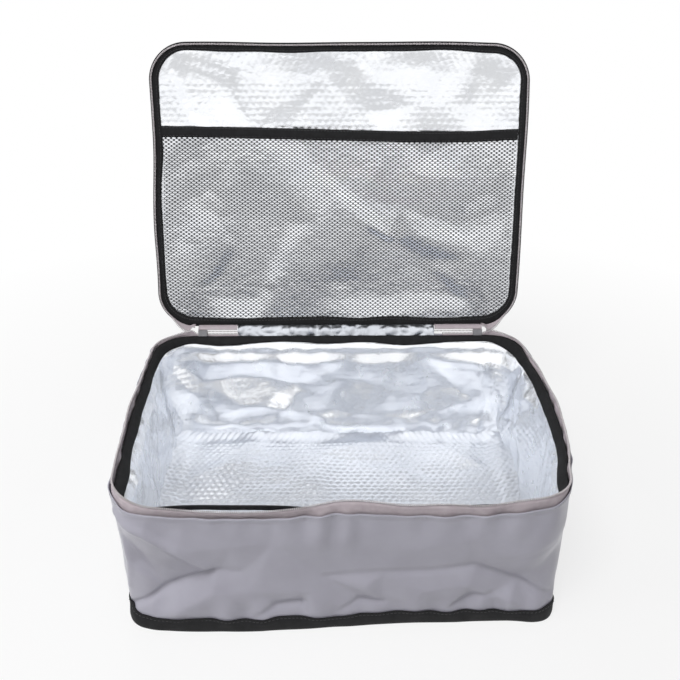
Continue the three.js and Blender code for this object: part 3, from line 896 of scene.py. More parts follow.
# Folds of the foil on the back wall, as (x, height, how far in), and on the floor, as (x, y, how far up)
BACK_FOLDS = (
    ((-186, 72, 3.0), (-147, 42, 8.0), (-113, 55, 12.0), (-69, 50, 9.0)),
    ((-20, 38, 9.0), (24, 46, 13.0), (83, 37, 9.0), (120, 46, 8.0), (160, 60, 3.0)),
    ((-120, 92, -2.0), (-60, 82, -2.5), (0, 88, -2.0)),
    ((40, 84, 3.0), (62, 104, 2.0)),
    ((-40, 112, 2.0), (-28, 70, 3.0)),
    ((-150, 116, 3.5), (-162, 84, -1.5)),
    ((-84, 118, 3.5), (-94, 98, -1.5)),
    ((96, 116, -1.5), (84, 68, 4.0)),
    ((126, 118, 3.5), (140, 74, -1.5)),
)
FLOOR_FOLDS = (
    ((-81, 87, 3.0), (-31, 96, 5.0), (27, 118, 5.5), (79, 133, 5.0), (112, 127, 2.0)),
    ((-148, 13, 0.0), (-134, 70, 8.0), (-124, 22, 0.0)),
    ((131, 67, 0.5), (147, 85, 4.5), (167, 76, 0.5)),
    ((-150, 128, 3.0), (-100, 138, 4.5), (-50, 134, 3.0)),
)

RIM_BACK_RAISE = 3.2  # how much shallower the rim's binding is along the back
RIM_BACK_NARROW = 0.8
FOAM_STEPS, FOAM_ROWS = 320, 30
FOAM_TOP = 11.0  # how far below the rim the wall's foam ends
FOIL_ROWS = 64
FOIL_TOP = 8.0  # and the wall's foil
FOIL_RUN_IN = 15.0  # how far the back wall's foil runs in over the floor
FOIL_RUN_DOWN = 7.0
FOIL_SLACK = 3.4  # how far the foil stands off the foam between its edges
FOIL_TUCK = 2.5  # how far its upper edge stands back behind the rim's binding
FOIL_BACK_TUCK = 1.6  # how much further along the back
BACK_CALM = 0.7  # the share of their rise that bubbles lack along the back


def foil_crush(us, vs, seed):
    """Small creases of foil, in patches."""
    patch = np.clip(0.55 + blur(crumple(us, vs, 70.0, 1.0, seed + 7), 6), 0.1, 1.0)
    small = crumple(us, vs, 25.0, 2.0, seed) + crumple(us, vs, 12.0, 0.7, seed + 1)
    return patch * small


def make_wall_fabric():
    """The grey wall, its upper edge turned out over the zip's seam."""
    path = wall_paths(RING, FABRIC / 2, HEM, seam_at(RING), WALL_ROWS)
    lip = 1.5 + 0.6 * ring_wave(RING, 3, 8, 40)
    path[..., 0] -= lip[:, None] * ease(path[..., 1], seam_at(RING)[:, None] - 7, seam_at(RING)[:, None])
    fabric = ring_strip("wall_fabric", RING, path, FABRIC, GREY)
    finish_piece(fabric, "tub", "outer_fabric", "body_wall_fabric")


def make_wall_foam():
    """The foam behind the wall's foil."""
    s = np.linspace(-AROUND / 2, AROUND / 2, FOAM_STEPS, endpoint=False)
    path = wall_paths(s, FOAM_INSET + FOAM / 2 + 0.7, SKIRT + 2.0, rim_height(s) - FOAM_TOP, FOAM_ROWS)
    foam = ring_strip("wall_foam", s, path, FOAM - 2.0, FOAM_LOOK, taper=0.3)
    finish_piece(foam, "tub", "foam", "wall_insulation")


def make_wall_foil():
    """The creased foil inside the walls, tucked behind the rim's binding."""
    us = np.linspace(0, AROUND, int(AROUND / CREASE_GRID))
    vs = np.linspace(0, SEAM, int(SEAM / CREASE_GRID))
    folds = [[(AROUND / 2 - x, z, inward) for x, z, inward in fold] for fold in BACK_FOLDS]
    creases = folded(us, vs, folds, 52.0, 4.0, 21) + foil_crush(us, vs, 22)
    back = along_back(RING)[:, None]
    edge = rim_height(RING) + RIM_BACK_RAISE * along_back(RING)
    path = wall_paths(RING, LINER_INSET, SKIRT + 2.5 - FOIL_RUN_DOWN * back, edge - FOIL_TOP, FOIL_ROWS)
    z = path[..., 1]
    path[..., 0] += FOIL_RUN_IN * back * (1 - ease(z, SKIRT - 4, SKIRT + 34))
    s = np.repeat(RING[:, None], z.shape[1], axis=1)
    loose = ease(z, SKIRT, SKIRT + 18) * (1 - 0.9 * ease(z, SEAM - 28, SEAM - 12))
    crease = sampled(creases, us, vs, np.mod(s, AROUND), z)
    crease += BUBBLE_RISE * (1 - BACK_CALM * back) * bubbles(s, z)
    path[..., 0] += (FOIL_SLACK + crease) * loose
    path[..., 0] -= (FOIL_TUCK + FOIL_BACK_TUCK * back) * (1 - ease(edge[:, None] - z, 9, 18))
    foil = ring_strip("wall_foil", RING, path, FOIL, FOIL_LOOK)
    finish_piece(foil, "tub", "foil", "wall_liner")


# Base and floor

def way_round(x, y):
    """The way round the outline that a point lies nearest to."""
    over_x = np.abs(x) - FLAT_X
    over_y = np.abs(y) - FLAT_Y
    corner = FLAT_X + CORNER * np.arctan2(np.clip(over_x, 0, None), np.clip(over_y, 1e-9, None))
    side = FLAT_X + ARC - np.clip(over_y, None, 0)
    front = np.abs(x)
    s = np.where((over_x > 0) & (over_y > 0), corner, np.where(over_x > over_y, side, front))
    s = np.where(y > 0, AROUND / 2 - s, s)
    return np.where(x < 0, -s, s)


def follow_walls(points):
    """Points of a base layer, with its edge shifted to where the folded wall stands."""
    s = way_round(points[:, 0], points[:, 1])
    hold = 1 - ease(inset_of(points[:, 0], points[:, 1]), 8, 38)
    shift = hold * wall_out(s, np.full(len(s), SKIRT + 4.0))
    moved = points.copy()
    moved[:, :2] += outline(s)[1] * shift[:, None]
    return moved


BASE_FLAT = 36.0  # inset where the base reaches the floor
BASE_INSET, BASE_CELL = 3.6, 5.0
BASE_FOAM_INSET, FOAM_CELL = 9.0, 6.0
FLOOR_FOIL_INSET, FOIL_CELL = 7.4, 1.75
FLOOR_SLACK = 3.6  # how far the floor's foil stands off the foam before it is creased


def base_rise(x, y):
    """Height of the sagging base's underside."""
    return SKIRT * (1 - ease(inset_of(x, y), 2.0, BASE_FLAT)) + 0.1


base_top = lifted(base_rise, FABRIC)


def make_base():
    """The base's fabric and foam."""
    base = panel_object("base_panel", BASE_INSET, BASE_CELL, base_top, base_rise, GREY, place=follow_walls)
    finish_piece(base, "tub", "outer_fabric", "base_fabric")
    upper, lower = (lifted(base_top, height) for height in (FOAM + 0.2, 0.3))
    foam = panel_object(
        "base_foam", BASE_FOAM_INSET, FOAM_CELL, upper, lower, FOAM_LOOK, place=follow_walls
    )
    finish_piece(foam, "tub", "foam", "base_insulation")


def make_floor_foil():
    """The creased foil on the base's foam."""
    us, vs = plan_grid(CREASE_GRID)
    calm = 0.2 + 0.7 * ease(vs, -20.0, 90.0)[None, :]
    creases = folded(us, vs, FLOOR_FOLDS, 60.0, 1.0, 31) + foil_crush(us, vs, 32) * calm

    def floor(x, y):
        loose = ease(inset_of(x, y), 9.0, 26.0)
        crease = np.clip(FLOOR_SLACK + sampled(creases, us, vs, x, y), 0, None)
        return base_top(x, y) + FOAM + 1.0 + loose * crease + FLOOR_BUBBLE_RISE * bubbles(x, y)

    upper = lifted(floor, FOIL)
    # Its darker colour is painted shade.
    foil = panel_object(
        "floor_foil", FLOOR_FOIL_INSET, FOIL_CELL, upper, floor, FLOOR_FOIL_PAINTED_SHADE, place=follow_walls
    )
    finish_piece(foil, "tub", "foil", "floor_liner")


# The base's binding, as (inset, share of its height), from its outer edge down, under and up inside
BASE_TAPE = (
    (-1.0, 1.0), (-1.0, 0.55), (-1.0, 0.2), (-0.5, 0.03), (1.0, 0.0), (2.4, 0.05), (2.7, 0.4), (2.7, 0.95),
)
BASE_TAPE_LOW = 0.6


def make_base_tape():
    """The binding round the base's seam."""
    top = SKIRT + 1.2 + 1.4 * ring_wave(RING, 41, 6, 30)
    corners = [(inset, BASE_TAPE_LOW + share * (top - BASE_TAPE_LOW)) for inset, share in BASE_TAPE]
    path = ring_paths(RING, corners)
    s = np.repeat(RING[:, None], path.shape[1], axis=1)
    path[..., 0] -= wall_out(s, path[..., 1])
    tape = ring_strip("base_tape", RING, path, 1.0, BLACK)
    finish_piece(tape, "tub", "black_tape", "base_binding")
    line = top - 2.2
    row = stitch_row("base_stitches", RING, -1.6 - wall_out(RING, line), line, THREAD)
    finish_piece(row, "tub", "black_tape")


# Rim: binding, zip tape and coil of the tub

RIM_WIDTH = 7.0
RIM_DROP = 8.8
# Section of the binding: the share of its width and drop, and how far it stands up from a straight line
RIM_SHARE = np.array([0.0, 0.06, 0.2, 0.5, 0.8, 0.94, 1.0])
RIM_CROWN = np.array([-1.6, -0.3, 0.5, 0.9, 0.5, -0.1, -1.0])
# Where the binding stands higher than the front tape, as (s, how far)
RIM_LIFT = ((-180, 0), (-130, 2.5), (-60, 3), (-20, 0), (100, 0), (140, 3), (180, 3), (210, 0))


def rim_section(s):
    """Paths across the rim binding, from the seam inwards and down."""
    width = RIM_WIDTH - RIM_BACK_NARROW * along_back(s) + 1.1 * ring_wave(s, 51, 5, 22)
    drop = RIM_DROP - RIM_BACK_RAISE * along_back(s) + 1.2 * ring_wave(s, 52, 5, 18)
    lift = 0.8 * off_back(s) * ring_wave(s, 53, 4, 12) + profile(s, RIM_LIFT)
    out = rim_out(s)
    inset = FOAM_INSET + 0.6 + RIM_SHARE * width[:, None] - out[:, None]
    level = np.full(len(s), SEAM - 9.0)
    foil_out = np.mean([wall_out(s + shift, level) for shift in np.linspace(-18, 18, 5)], axis=0)
    inset -= RIM_SHARE * (foil_out - out)[:, None]
    z = (rim_height(s) + lift)[:, None] - RIM_SHARE * drop[:, None] + RIM_CROWN
    return np.stack([inset, z], -1)


def make_rim():
    """The binding on the tub's rim."""
    path = rim_section(RING)
    tape = ring_strip("rim_tape", RING, path, 1.6, BLACK, taper=0.4)
    finish_piece(tape, "tub", "black_tape", "rim_binding")
    inset, z = path[:, 5].T
    row = stitch_row("rim_stitches", RING, inset - 1.0, z + 1.3, THREAD, lie=1.2)
    finish_piece(row, "tub", "black_tape")


def gap_ring(half, step):
    """Places round the rim, apart from a gap of a half length in the middle of the back."""
    reach = AROUND / 2 - half
    return np.linspace(-reach, reach, int(2 * reach / step))


TAPE = 0.8
TAPE_STEP = 2.0
TAPE_SEWN = 5.0  # how far the tapes reach past a seam
COIL_HIGH = ZIP_LINE + 1.5
COIL_OFF = 1.2  # how far the teeth's middle stands off the edge of a tape
TOOTH_PITCH = 1.6
TOOTH = (1.15, 1.8, 2.3)
TAPE_FREE_EDGE = 2.7  # from the zip line to the edge of each tape
PULL_LENGTH = 34.0  # how far beyond a slider the closed zip still draws the tapes together
PULL_DOWN = 8.4
PULL_OUT = 9.0
PULL_UP = 5.0
SEAM_STITCH_PITCH = 3.4
SEAM_STITCH = (2.4, 0.6, 0.45)


def beyond_slider(s):
    """1 beside the closed zip, 0 where the two tapes are free of each other."""
    return 1 - ease(AROUND / 2 - FLAT_X - np.abs(from_front(s)), 0, PULL_LENGTH)


def drawn_together(s):
    """How much the parting tapes are drawn to each other: nothing where the zip is closed."""
    near = beyond_slider(s)
    return near * ease(1 - near, 0, 0.12)


# Rows of the tub's tape: share of its height, how far each leans with the edge, how far it keeps to the wall
TAPE_SHARE = np.array([0.0, 0.35, 0.55, 0.78, 1.0])
TAPE_BOW = np.array([0.0, 0.0, 0.15, 0.5, 1.0])
TAPE_HOLD = np.array([1.0, 1.0, 0.7, 0.3, 0.0])


def lower_tape_path(s):
    """Paths up the tub's zip tape, from inside the seam to its sagging free edge."""
    drop = profile(s, TAPE_DROP) + 0.5 * off_back(s) * ring_wave(s, 61, 8, 30)
    lean = 0.35 * np.clip(-drop, 0, None) + 0.8 * off_back(s) * ring_wave(s, 62, 6, 20)
    bottom = seam_at(s) - TAPE_SEWN - 1
    top = ZIP_LINE - TAPE_FREE_EDGE + drop + PULL_UP * drawn_together(s)
    z = bottom[:, None] + TAPE_SHARE * (top - bottom)[:, None]
    inset = TAPE_INSET - TAPE_BOW * lean[:, None] - TAPE_HOLD * (wall_out(s, SEAM - 5) - rim_out(s))[:, None]
    inset -= rim_out(s)[:, None]
    return np.stack([inset, z], -1)


def teeth(name, s, edge, off, place=None):
    """Zip teeth along a tape's edge of (inset, z), at a height off it."""
    way = np.arange(s[0], s[-1], TOOTH_PITCH)
    outward = outline(way)[1]
    inset, z = (np.interp(way, s, line)[:, None] for line in (edge[:, 0], edge[:, 1] + off))
    facing = np.column_stack([outward, np.zeros(len(way))])
    ahead = np.column_stack([-outward[:, 1], outward[:, 0], np.zeros(len(way))])
    return pills(name, around(way, inset, z)[:, 0], ahead, facing, TOOTH, COIL, place)


def make_lower_zip():
    """The tub's zip tape and coil, the wall's upper seam, and the closed coil between hinge and sliders."""
    s = gap_ring(HINGE_HALF + 0.3, TAPE_STEP)
    path = lower_tape_path(s)
    tape = ring_strip("zip_tape_lower", s, path, TAPE, ZIP_TAPE, closed=False)
    finish_piece(tape, "tub", "zip_tape", "lower_zip_tape")
    coil = teeth("zip_coil_lower", s, path[:, -1], COIL_OFF)
    finish_piece(coil, "tub", "zip_coil", "lower_zip_coil")
    inset = -wall_out(RING, SEAM - 4) - 0.9
    z = seam_at(RING) - 2.4
    seam = stitch_row(
        "seam_stitches", RING, inset, z, GREY_THREAD, pitch=SEAM_STITCH_PITCH, size=SEAM_STITCH
    )
    finish_piece(seam, "tub", "outer_fabric")
    for side, name in SIDES:
        x = np.arange(abs(HINGE_ENDS[side > 0]) + 0.6, SLIDER_IN + 4, TOOTH_PITCH) * side
        origins = np.column_stack([x, np.full(len(x), TAPE_Y), np.full(len(x), COIL_HIGH)])
        coil = straight_row(f"closed_coil_{name}", origins, [0.0, 1.0, 0.0], TOOTH, COIL)
        finish_piece(coil, "tub", "zip_coil", f"closed_zip_{name}")


# Pieces that bend across the hinge

def rounded_path(points, count, rounds):
    """A path of evenly spread points along a line, its corners rounded."""
    points = np.array(points, float)
    lengths = np.concatenate([[0], np.cumsum(np.linalg.norm(np.diff(points, axis=0), axis=1))])
    way = np.linspace(0, lengths[-1], count)
    path = np.column_stack([np.interp(way, lengths, points[:, k]) for k in range(2)])
    for _ in range(rounds):
        path[1:-1] = (path[:-2] + 2 * path[1:-1] + path[2:]) / 4
    return path


def open_point(y, z):
    """A (y, z) point of the closed lid, folded open."""
    return opened(np.array([0.0, y, z]))[1:]


AXIS = np.array([HINGE_Y, ZIP_LINE])  # of the lid's hinge, in Y and Z
BEND_REACH = 3.0  # how far from it the hinge's strips turn


def blend_over(piece, start, end, slot, *nodes):
    """Bakes a piece's placement into its mesh and hides the CAD nodes it stands for; the start and end points
    are not used.
    """
    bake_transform(piece)
    return label(piece, slot, *nodes)


def bend_across(piece, slot, *nodes):
    """Works out two points beside the hinge line, then bakes a piece's placement into its mesh and hides its
    CAD nodes.
    """
    lower = np.array([TAPE_Y - HINGE_Y, -ZIP_HALF])
    upper = open_point(TAPE_Y, LID_SEAM) - AXIS
    start, end = (AXIS + BEND_REACH * way / np.linalg.norm(way) for way in (lower, upper))
    return blend_over(piece, start, end, slot, *nodes)


def cross_strip(name, x, path, thickness, material):
    """A strip along X with one (y, z) path across it."""
    return straight_strip(name, x, np.repeat(path[None], len(x), axis=0), thickness, material)


TURN_START = np.array([TAPE_Y, ZIP_LINE + 3.6])  # edge of the lid's tape at the closed zip
TURN_END = open_point(TAPE_Y, ZIP_LINE + 4.0)


def turn_with_tape(piece, slot):
    """Bakes the placement of a piece beside the closed zip into its mesh."""
    return blend_over(piece, TURN_START, TURN_END, slot)


HINGE_STEPS = 150
HINGE_FOIL_OFF = 1.2  # how far the hinge's foil lies inside its fabric
HINGE_FOIL_ENDS = 6  # points of the fabric's path that the foil leaves free at each end
HINGE_FOIL_CRUSH = 3.2
HINGE_CRUSH_WIDTH = 20.0


def crushed(x, path, crush, seed):
    """A (y, z) path at each x, pushed to its left by seeded creases, but not at its ends."""
    vs = np.linspace(0, HINGE_CRUSH_WIDTH, 12)
    field = crumple(x, vs, 11.0, crush, seed) + crumple(x, vs, 5.0, crush * 0.3, seed + 1)
    along, down = np.meshgrid(x, np.linspace(0, HINGE_CRUSH_WIDTH, len(path)), indexing="ij")
    shift = np.abs(sampled(field, x, vs, along, down)) * np.sin(np.linspace(0, math.pi, len(path)))
    return path[None] + left_of(path)[None] * shift[..., None]


def make_hinge():
    """The strip in the middle of the back edge, its foil, and the zip tapes that turn beside it."""
    x = np.linspace(HINGE_ENDS[0], HINGE_ENDS[1], HINGE_STEPS)
    lid_end = [open_point(TAPE_Y, LID_SEAM), open_point(TAPE_Y, LID_SEAM + TAPE_SEWN)]
    path = rounded_path([(TAPE_Y, SEAM - TAPE_SEWN - 1), (TAPE_Y, SEAM), AXIS, *lid_end], 30, 2)
    panel = cross_strip("hinge_panel", x, path, TAPE, GREY)
    bend_across(panel, "outer_fabric", "hinge_panel_lower", "hinge_panel_upper")
    inside = (path + HINGE_FOIL_OFF * left_of(path))[HINGE_FOIL_ENDS:-HINGE_FOIL_ENDS]
    # Its foil is painted dark, as painted shade in the hinge's fold.
    foil = straight_strip("hinge_foil", x, crushed(x, inside, HINGE_FOIL_CRUSH, 71), 0.4, HINGE_FOIL_PAINTED_SHADE)
    bend_across(foil, "foil", "hinge_liner_lower", "hinge_liner_upper")

    start, end = (math.atan2(z, y) for y, z in (TURN_START - AXIS, TURN_END - AXIS))
    radius = math.hypot(*(TURN_START - AXIS))
    arc = [AXIS + radius * np.array([math.cos(a), math.sin(a)]) for a in np.linspace(start, end, 14)]
    path = rounded_path([*arc, *lid_end], 26, 1)
    for side, name in SIDES:
        x = np.linspace(HINGE_ENDS[side > 0] + 0.3 * side, FLAT_X * side, 30)
        turn_with_tape(cross_strip(f"zip_tape_turn_{name}", x, path, TAPE, ZIP_TAPE), "zip_tape")


# The lid, shaped closed

LID_CROWN = 4.0
LID_FOIL = 156.0
LID_TAPE_Z = 148.4  # middle of the binding inside the lid
NET_Z = 149.9
MOUTH_Y = -62.0  # the net's edge inside the band
LID_GRID = 3.0
LID_INSET = 5.0
LID_FOAM_INSET = 4.0
LID_FOIL_INSET = 3.0
# The lid's turned-down edge, as (inset, z): over the rim, down to the seam and up inside
LID_EDGE = (
    (2.4, LID_TOP - 1.7), (1.0, LID_TOP - 3.0), (0.2, LID_TOP - 5.5), (0.0, LID_TOP - 9.0),
    (0.1, LID_SEAM + 0.6), (0.5, LID_SEAM), (0.9, LID_SEAM + 0.6),
    (0.8, LID_TOP - 9.0), (1.0, LID_TOP - 5.5), (1.8, LID_TOP - 3.6), (3.0, LID_TOP - 2.6),
)


def lid_wave(s):
    """How the lid's edge wanders in its own plane."""
    return 0.9 * off_back(s) * ring_wave(s, 81, 3, 12)


def make_lid_shell():
    """The lid's outer fabric and its foam."""
    us, vs = plan_grid(LID_GRID)
    folds = blur(crumple(us, vs, 85.0, 1.6, 91) + crumple(us, vs, 38.0, 0.5, 92), 2)

    def top(x, y):
        inset = inset_of(x, y)
        crown = LID_CROWN * ease(inset, 0.0, 60.0)
        return LID_TOP - 1.2 + crown + sampled(folds, us, vs, x, y) * ease(inset, 8, 40)

    def foam_face(x, y):
        return np.full(x.shape, LID_FOIL + 1.8)

    under = lifted(top, -FABRIC)
    panel = panel_object("lid_panel", LID_INSET, LID_GRID, top, under, GREY, LID_EDGE, place=opened)
    finish_piece(panel, "lid", "outer_fabric", "lid_fabric")
    upper = lifted(under, -0.4)
    foam = panel_object("lid_foam", LID_FOAM_INSET, FOAM_CELL, upper, foam_face, FOAM_LOOK, place=opened)
    finish_piece(foam, "lid", "foam", "lid_insulation")


# Creases of the lid's foil, as (x, y, how far down) with the lid closed
LID_FOLDS = (
    ((-186, -146, 0.0), (-166, -76, 3.0)),
    ((-183, -147, 0.0), (-158, -86, -3.0)),
    ((-178, -150, 0.0), (-130, -112, -3.0)),
    ((-176, -151, 0.0), (-104, -130, 3.0)),
    ((12, -146, 2.0), (26, -84, -3.0)),
    ((90, -150, -2.0), (120, -90, 3.0)),
    ((60, -52, 4.0), (70, 20, 1.0), (58, 60, -2.0)),
    ((2, 22, 4.0), (58, 58, 2.0)),
    ((30, -50, -2.0), (24, 10, -2.5)),
    ((-22, 40, 3.5), (-60, 112, 4.0)),
    ((-62, 36, -2.5), (-92, 108, -2.0)),
    ((-110, -40, 3.0), (-134, 30, 1.0), (-112, 70, -2.0)),
    ((-140, 60, 3.0), (-172, 120, 3.0)),
    ((96, -40, -2.0), (150, -10, 3.5)),
    ((84, 50, 2.0), (168, 78, 3.5)),
    ((90, 84, -2.5), (164, 124, 3.0)),
)


def lid_foil_field():
    """How far the lid's foil is creased, over the bag's plan."""
    us, vs = plan_grid(CREASE_GRID)
    return us, vs, 1.4 * blur(folded(us, vs, LID_FOLDS, 46.0, 3.6, 101), 2) + 0.45 * foil_crush(us, vs, 102)


LID_US, LID_VS, LID_CREASES = lid_foil_field()
STRIP_BUBBLE_RISE = 0.4
NET_BUBBLE_RISE = 0.12


def foil_face(x, y):
    """Height of the foil's face inside the closed lid."""
    middle = (LID_FOIL - NET_Z - 1.2) / 2
    crease = middle * (1 - np.tanh(sampled(LID_CREASES, LID_US, LID_VS, x, y) / middle))
    behind_net = ease(y, MOUTH_Y - 6.0, MOUTH_Y + 6.0)
    rise = STRIP_BUBBLE_RISE + (NET_BUBBLE_RISE - STRIP_BUBBLE_RISE) * behind_net
    return NET_Z + 0.8 + rise * (1 - bubbles(x, y)) + crease * ease(inset_of(x, y), 5.0, 34.0)


# The lid's binding, as (inset, how far up from its middle), from its outer edge inwards
LID_TAPE = ((-0.6, 3.0), (-0.5, 1.0), (0.6, 0.1), (4.2, -0.35), (7.6, 0.0), (8.6, 0.7))


def make_lid_lining():
    """The foil inside the lid and the binding round it."""
    upper = lifted(foil_face, FOIL)
    foil = panel_object("lid_foil", LID_FOIL_INSET, FOIL_CELL, upper, foil_face, FOIL_LOOK, place=opened)
    finish_piece(foil, "lid", "foil", "lid_liner")

    wave = lid_wave(RING)
    inner = 0.8 * ring_wave(RING, 82, 5, 24)
    corners = [(inset - wave + inner * (inset > 6), LID_TAPE_Z + lift) for inset, lift in LID_TAPE]
    path = ring_paths(RING, corners)
    tape = ring_strip("lid_tape", RING, path, 1.2, BLACK, taper=0.3, place=opened)
    finish_piece(tape, "lid", "black_tape", "lid_binding")
    inset, z = path[:, 4].T
    row = stitch_row("lid_stitches", RING, inset - 1.0, z - 0.75, THREAD, -1.5, opened)
    finish_piece(row, "lid", "black_tape")


def pulled(points):
    """Points of the lid's tape, with its free edge drawn to the tub's beside the sliders, folded open."""
    moved = np.reshape(points, (-1, 3)).astype(float)
    s = way_round(moved[:, 0], moved[:, 1])
    free = np.clip((LID_SEAM + 1.0 - moved[:, 2]) / (LID_SEAM - ZIP_LINE), 0, 1)
    moved[:, :2] += outline(s)[1] * (PULL_OUT * free * drawn_together(s))[:, None]
    moved[:, 2] -= PULL_DOWN * free * beyond_slider(s)
    return opened(moved.reshape(np.shape(points)))


def upper_tape_path(s):
    """Paths up the lid's zip tape, from its free edge to inside the lid."""
    z = np.array([ZIP_LINE + TAPE_FREE_EDGE, LID_SEAM - 3.0, LID_SEAM + 1.0, LID_SEAM + TAPE_SEWN])
    lean = np.array([1.0, 0.5, 0.0, 0.0])
    return np.stack([TAPE_INSET - lid_wave(s)[:, None] * lean, np.broadcast_to(z, (len(s), len(z)))], -1)


def make_upper_zip():
    """The lid's zip tape and coil, and their ends, which part beside the sliders."""
    s = gap_ring(FLAT_X + PULL_LENGTH, TAPE_STEP)
    path = upper_tape_path(s)
    tape = ring_strip("zip_tape_upper", s, path, TAPE, ZIP_TAPE, closed=False, place=opened)
    finish_piece(tape, "lid", "zip_tape", "upper_zip_tape")
    coil = teeth("zip_coil_upper", s, path[:, 0], -COIL_OFF, opened)
    finish_piece(coil, "lid", "zip_coil", "upper_zip_coil")
    corner = AROUND / 2 - FLAT_X
    for side, name in SIDES:
        s = np.sort(side * np.linspace(corner - PULL_LENGTH, corner, 24))
        path = upper_tape_path(s)
        part = ring_strip(f"zip_tape_part_{name}", s, path, TAPE, ZIP_TAPE, closed=False, place=pulled)
        turn_with_tape(part, "zip_tape")
        turn_with_tape(teeth(f"zip_coil_part_{name}", s, path[:, 0], -COIL_OFF, pulled), "zip_coil")


# Net pocket

NET_PITCH_X = 5.9
NET_PITCH_Y = 4.3
STRAND_ACROSS = 1.6  # the doubled strand between neighbours in a row
STRAND = 0.45
STRAND_HEIGHT = 0.45
NET_INSET = 9.0
# Corners of a net's cell, a hexagon, in half pitches along X and sixths of a pitch along Y
CELL_U = np.array([1, 1, 0, -1, -1, 0])
CELL_V = np.array([-1, 1, 2, 1, -1, -2])


def net_height(x, y):
    """Height of the net's middle: it lies on the foil and rises to the band along its mouth."""
    slack = foil_face(x, y) - NET_Z - STRAND_HEIGHT / 2 - 0.1
    return NET_Z + slack * ease(y, MOUTH_Y, MOUTH_Y + 14.0)


def make_net():
    """The pocket's net: strands round six-sided holes, which share their knots."""
    rows = int((BACK - MOUTH_Y) / (NET_PITCH_Y / 2)) + 1
    columns = int(LENGTH / NET_PITCH_X / 2) + 1
    column, row = np.meshgrid(np.arange(-columns, columns + 1), np.arange(rows), indexing="ij")
    centre_x = ((column + 0.5 * (row % 2)) * NET_PITCH_X).ravel()
    centre_y = (MOUTH_Y + row * NET_PITCH_Y / 2).ravel()
    kept = inset_of(centre_x, centre_y) > NET_INSET
    column, row = column.ravel()[kept], row.ravel()[kept]
    keys = np.stack([(2 * column + row % 2)[:, None] + CELL_U, 3 * row[:, None] + CELL_V], -1)
    lattice, index = np.unique(keys.reshape(-1, 2), axis=0, return_inverse=True)
    index = index.reshape(-1, 6)
    knot_x = lattice[:, 0] * NET_PITCH_X / 2
    knot_y = MOUTH_Y + lattice[:, 1] * NET_PITCH_Y / 6
    cell_x = (2 * column + row % 2) * NET_PITCH_X / 2
    cell_y = MOUTH_Y + row * NET_PITCH_Y / 2
    shrink_x = 1 - STRAND_ACROSS / NET_PITCH_X
    shrink_y = 1 - STRAND / (NET_PITCH_Y * 0.62)
    hole_x = cell_x[:, None] + CELL_U * NET_PITCH_X / 2 * shrink_x
    hole_y = cell_y[:, None] + CELL_V * NET_PITCH_Y / 6 * shrink_y
    top, bottom = (
        np.column_stack([knot_x, knot_y, np.full(len(knot_x), side * STRAND_HEIGHT / 2)]) for side in (-1, 1)
    )
    holes = np.column_stack([hole_x.ravel(), hole_y.ravel(), np.zeros(hole_x.size)])
    points = np.concatenate([top, bottom, holes])
    points[:, 2] += net_height(points[:, 0], points[:, 1])
    hole = 2 * len(lattice) + np.arange(len(holes)).reshape(-1, 6)
    after = np.roll(index, -1, axis=1)
    hole_after = np.roll(hole, -1, axis=1)
    shift = len(lattice)
    upper = np.stack([index, after, hole_after, hole], -1).reshape(-1, 4)
    lower = np.stack([hole, hole_after, after + shift, index + shift], -1).reshape(-1, 4)
    edges = np.stack([index, after], -1).reshape(-1, 2)
    _, where, count = np.unique(np.sort(edges, axis=1), axis=0, return_index=True, return_counts=True)
    rim = edges[where[count == 1]]
    border = np.stack([rim[:, 1], rim[:, 0], rim[:, 0] + shift, rim[:, 1] + shift], -1)
    net = make_object("net", points, [upper, lower, border], NET_LOOK, place=opened)
    finish_piece(net, "lid", "black_net", "mesh_pocket")


BAND_DROOP = ((-195, -3.3), (-90, -1.2), (0, 1.4), (90, 3.8), (130, 4.2), (195, 0.5))


def band_droop(x):
    """How far the pocket's band hangs from a straight line."""
    at, value = np.array(BAND_DROOP).T
    return np.mean([np.interp(x + shift, at, value) for shift in np.linspace(-30, 30, 9)], axis=0)


BAND_STEPS = 130
BAND_HALF = LENGTH / 2 - 9.0
BAND_FRONT = MOUTH_Y - 6.0
BAND_STITCHES = ((0.14, "front"), (0.86, "back"))  # where the rows lie across the band


def make_net_band():
    """The band along the pocket's mouth."""
    x = np.linspace(-BAND_HALF, BAND_HALF, BAND_STEPS)
    share = np.linspace(0, 1, 6)
    droop = band_droop(x)
    y = BAND_FRONT + BINDING * share[None, :] + droop[:, None]
    z = np.broadcast_to(NET_Z - 0.9 - 0.25 * np.sin(math.pi * share), y.shape)
    band = straight_strip("net_band", x, np.stack([y, z], -1), 1.3, BLACK, 0.4, opened)
    finish_piece(band, "lid", "black_tape", "pocket_binding")
    way = np.arange(x[0] + 3, x[-1] - 3, STITCH_PITCH)
    for edge, name in BAND_STITCHES:
        line = np.interp(way, x, droop) + BAND_FRONT + BINDING * edge
        origins = np.column_stack([way, line, np.full(len(way), NET_Z - 1.8)])
        row = straight_row(f"band_stitches_{name}", origins, [0.0, 0.0, -1.0], STITCH, THREAD, opened)
        finish_piece(row, "lid", "black_tape")


# Carry handle on the lid's outside

STRAP = 30.0
STRAP_THICK = 2.2
STRAP_HALF = 115.0
ARCH_HALF = 78.0
ARCH_RISE = 30.0
STRAP_STEPS = 140
STRAP_SEAT = LID_TOP + LID_CROWN + 0.6
STRAP_CURL = 2.2  # how far its edges curl up along the arch
STRAP_PINCH = 0.12  # how much narrower it is there
STRAP_STITCH_PITCH = 3.2
STRAP_STITCH = (2.4, 0.8, 0.6)


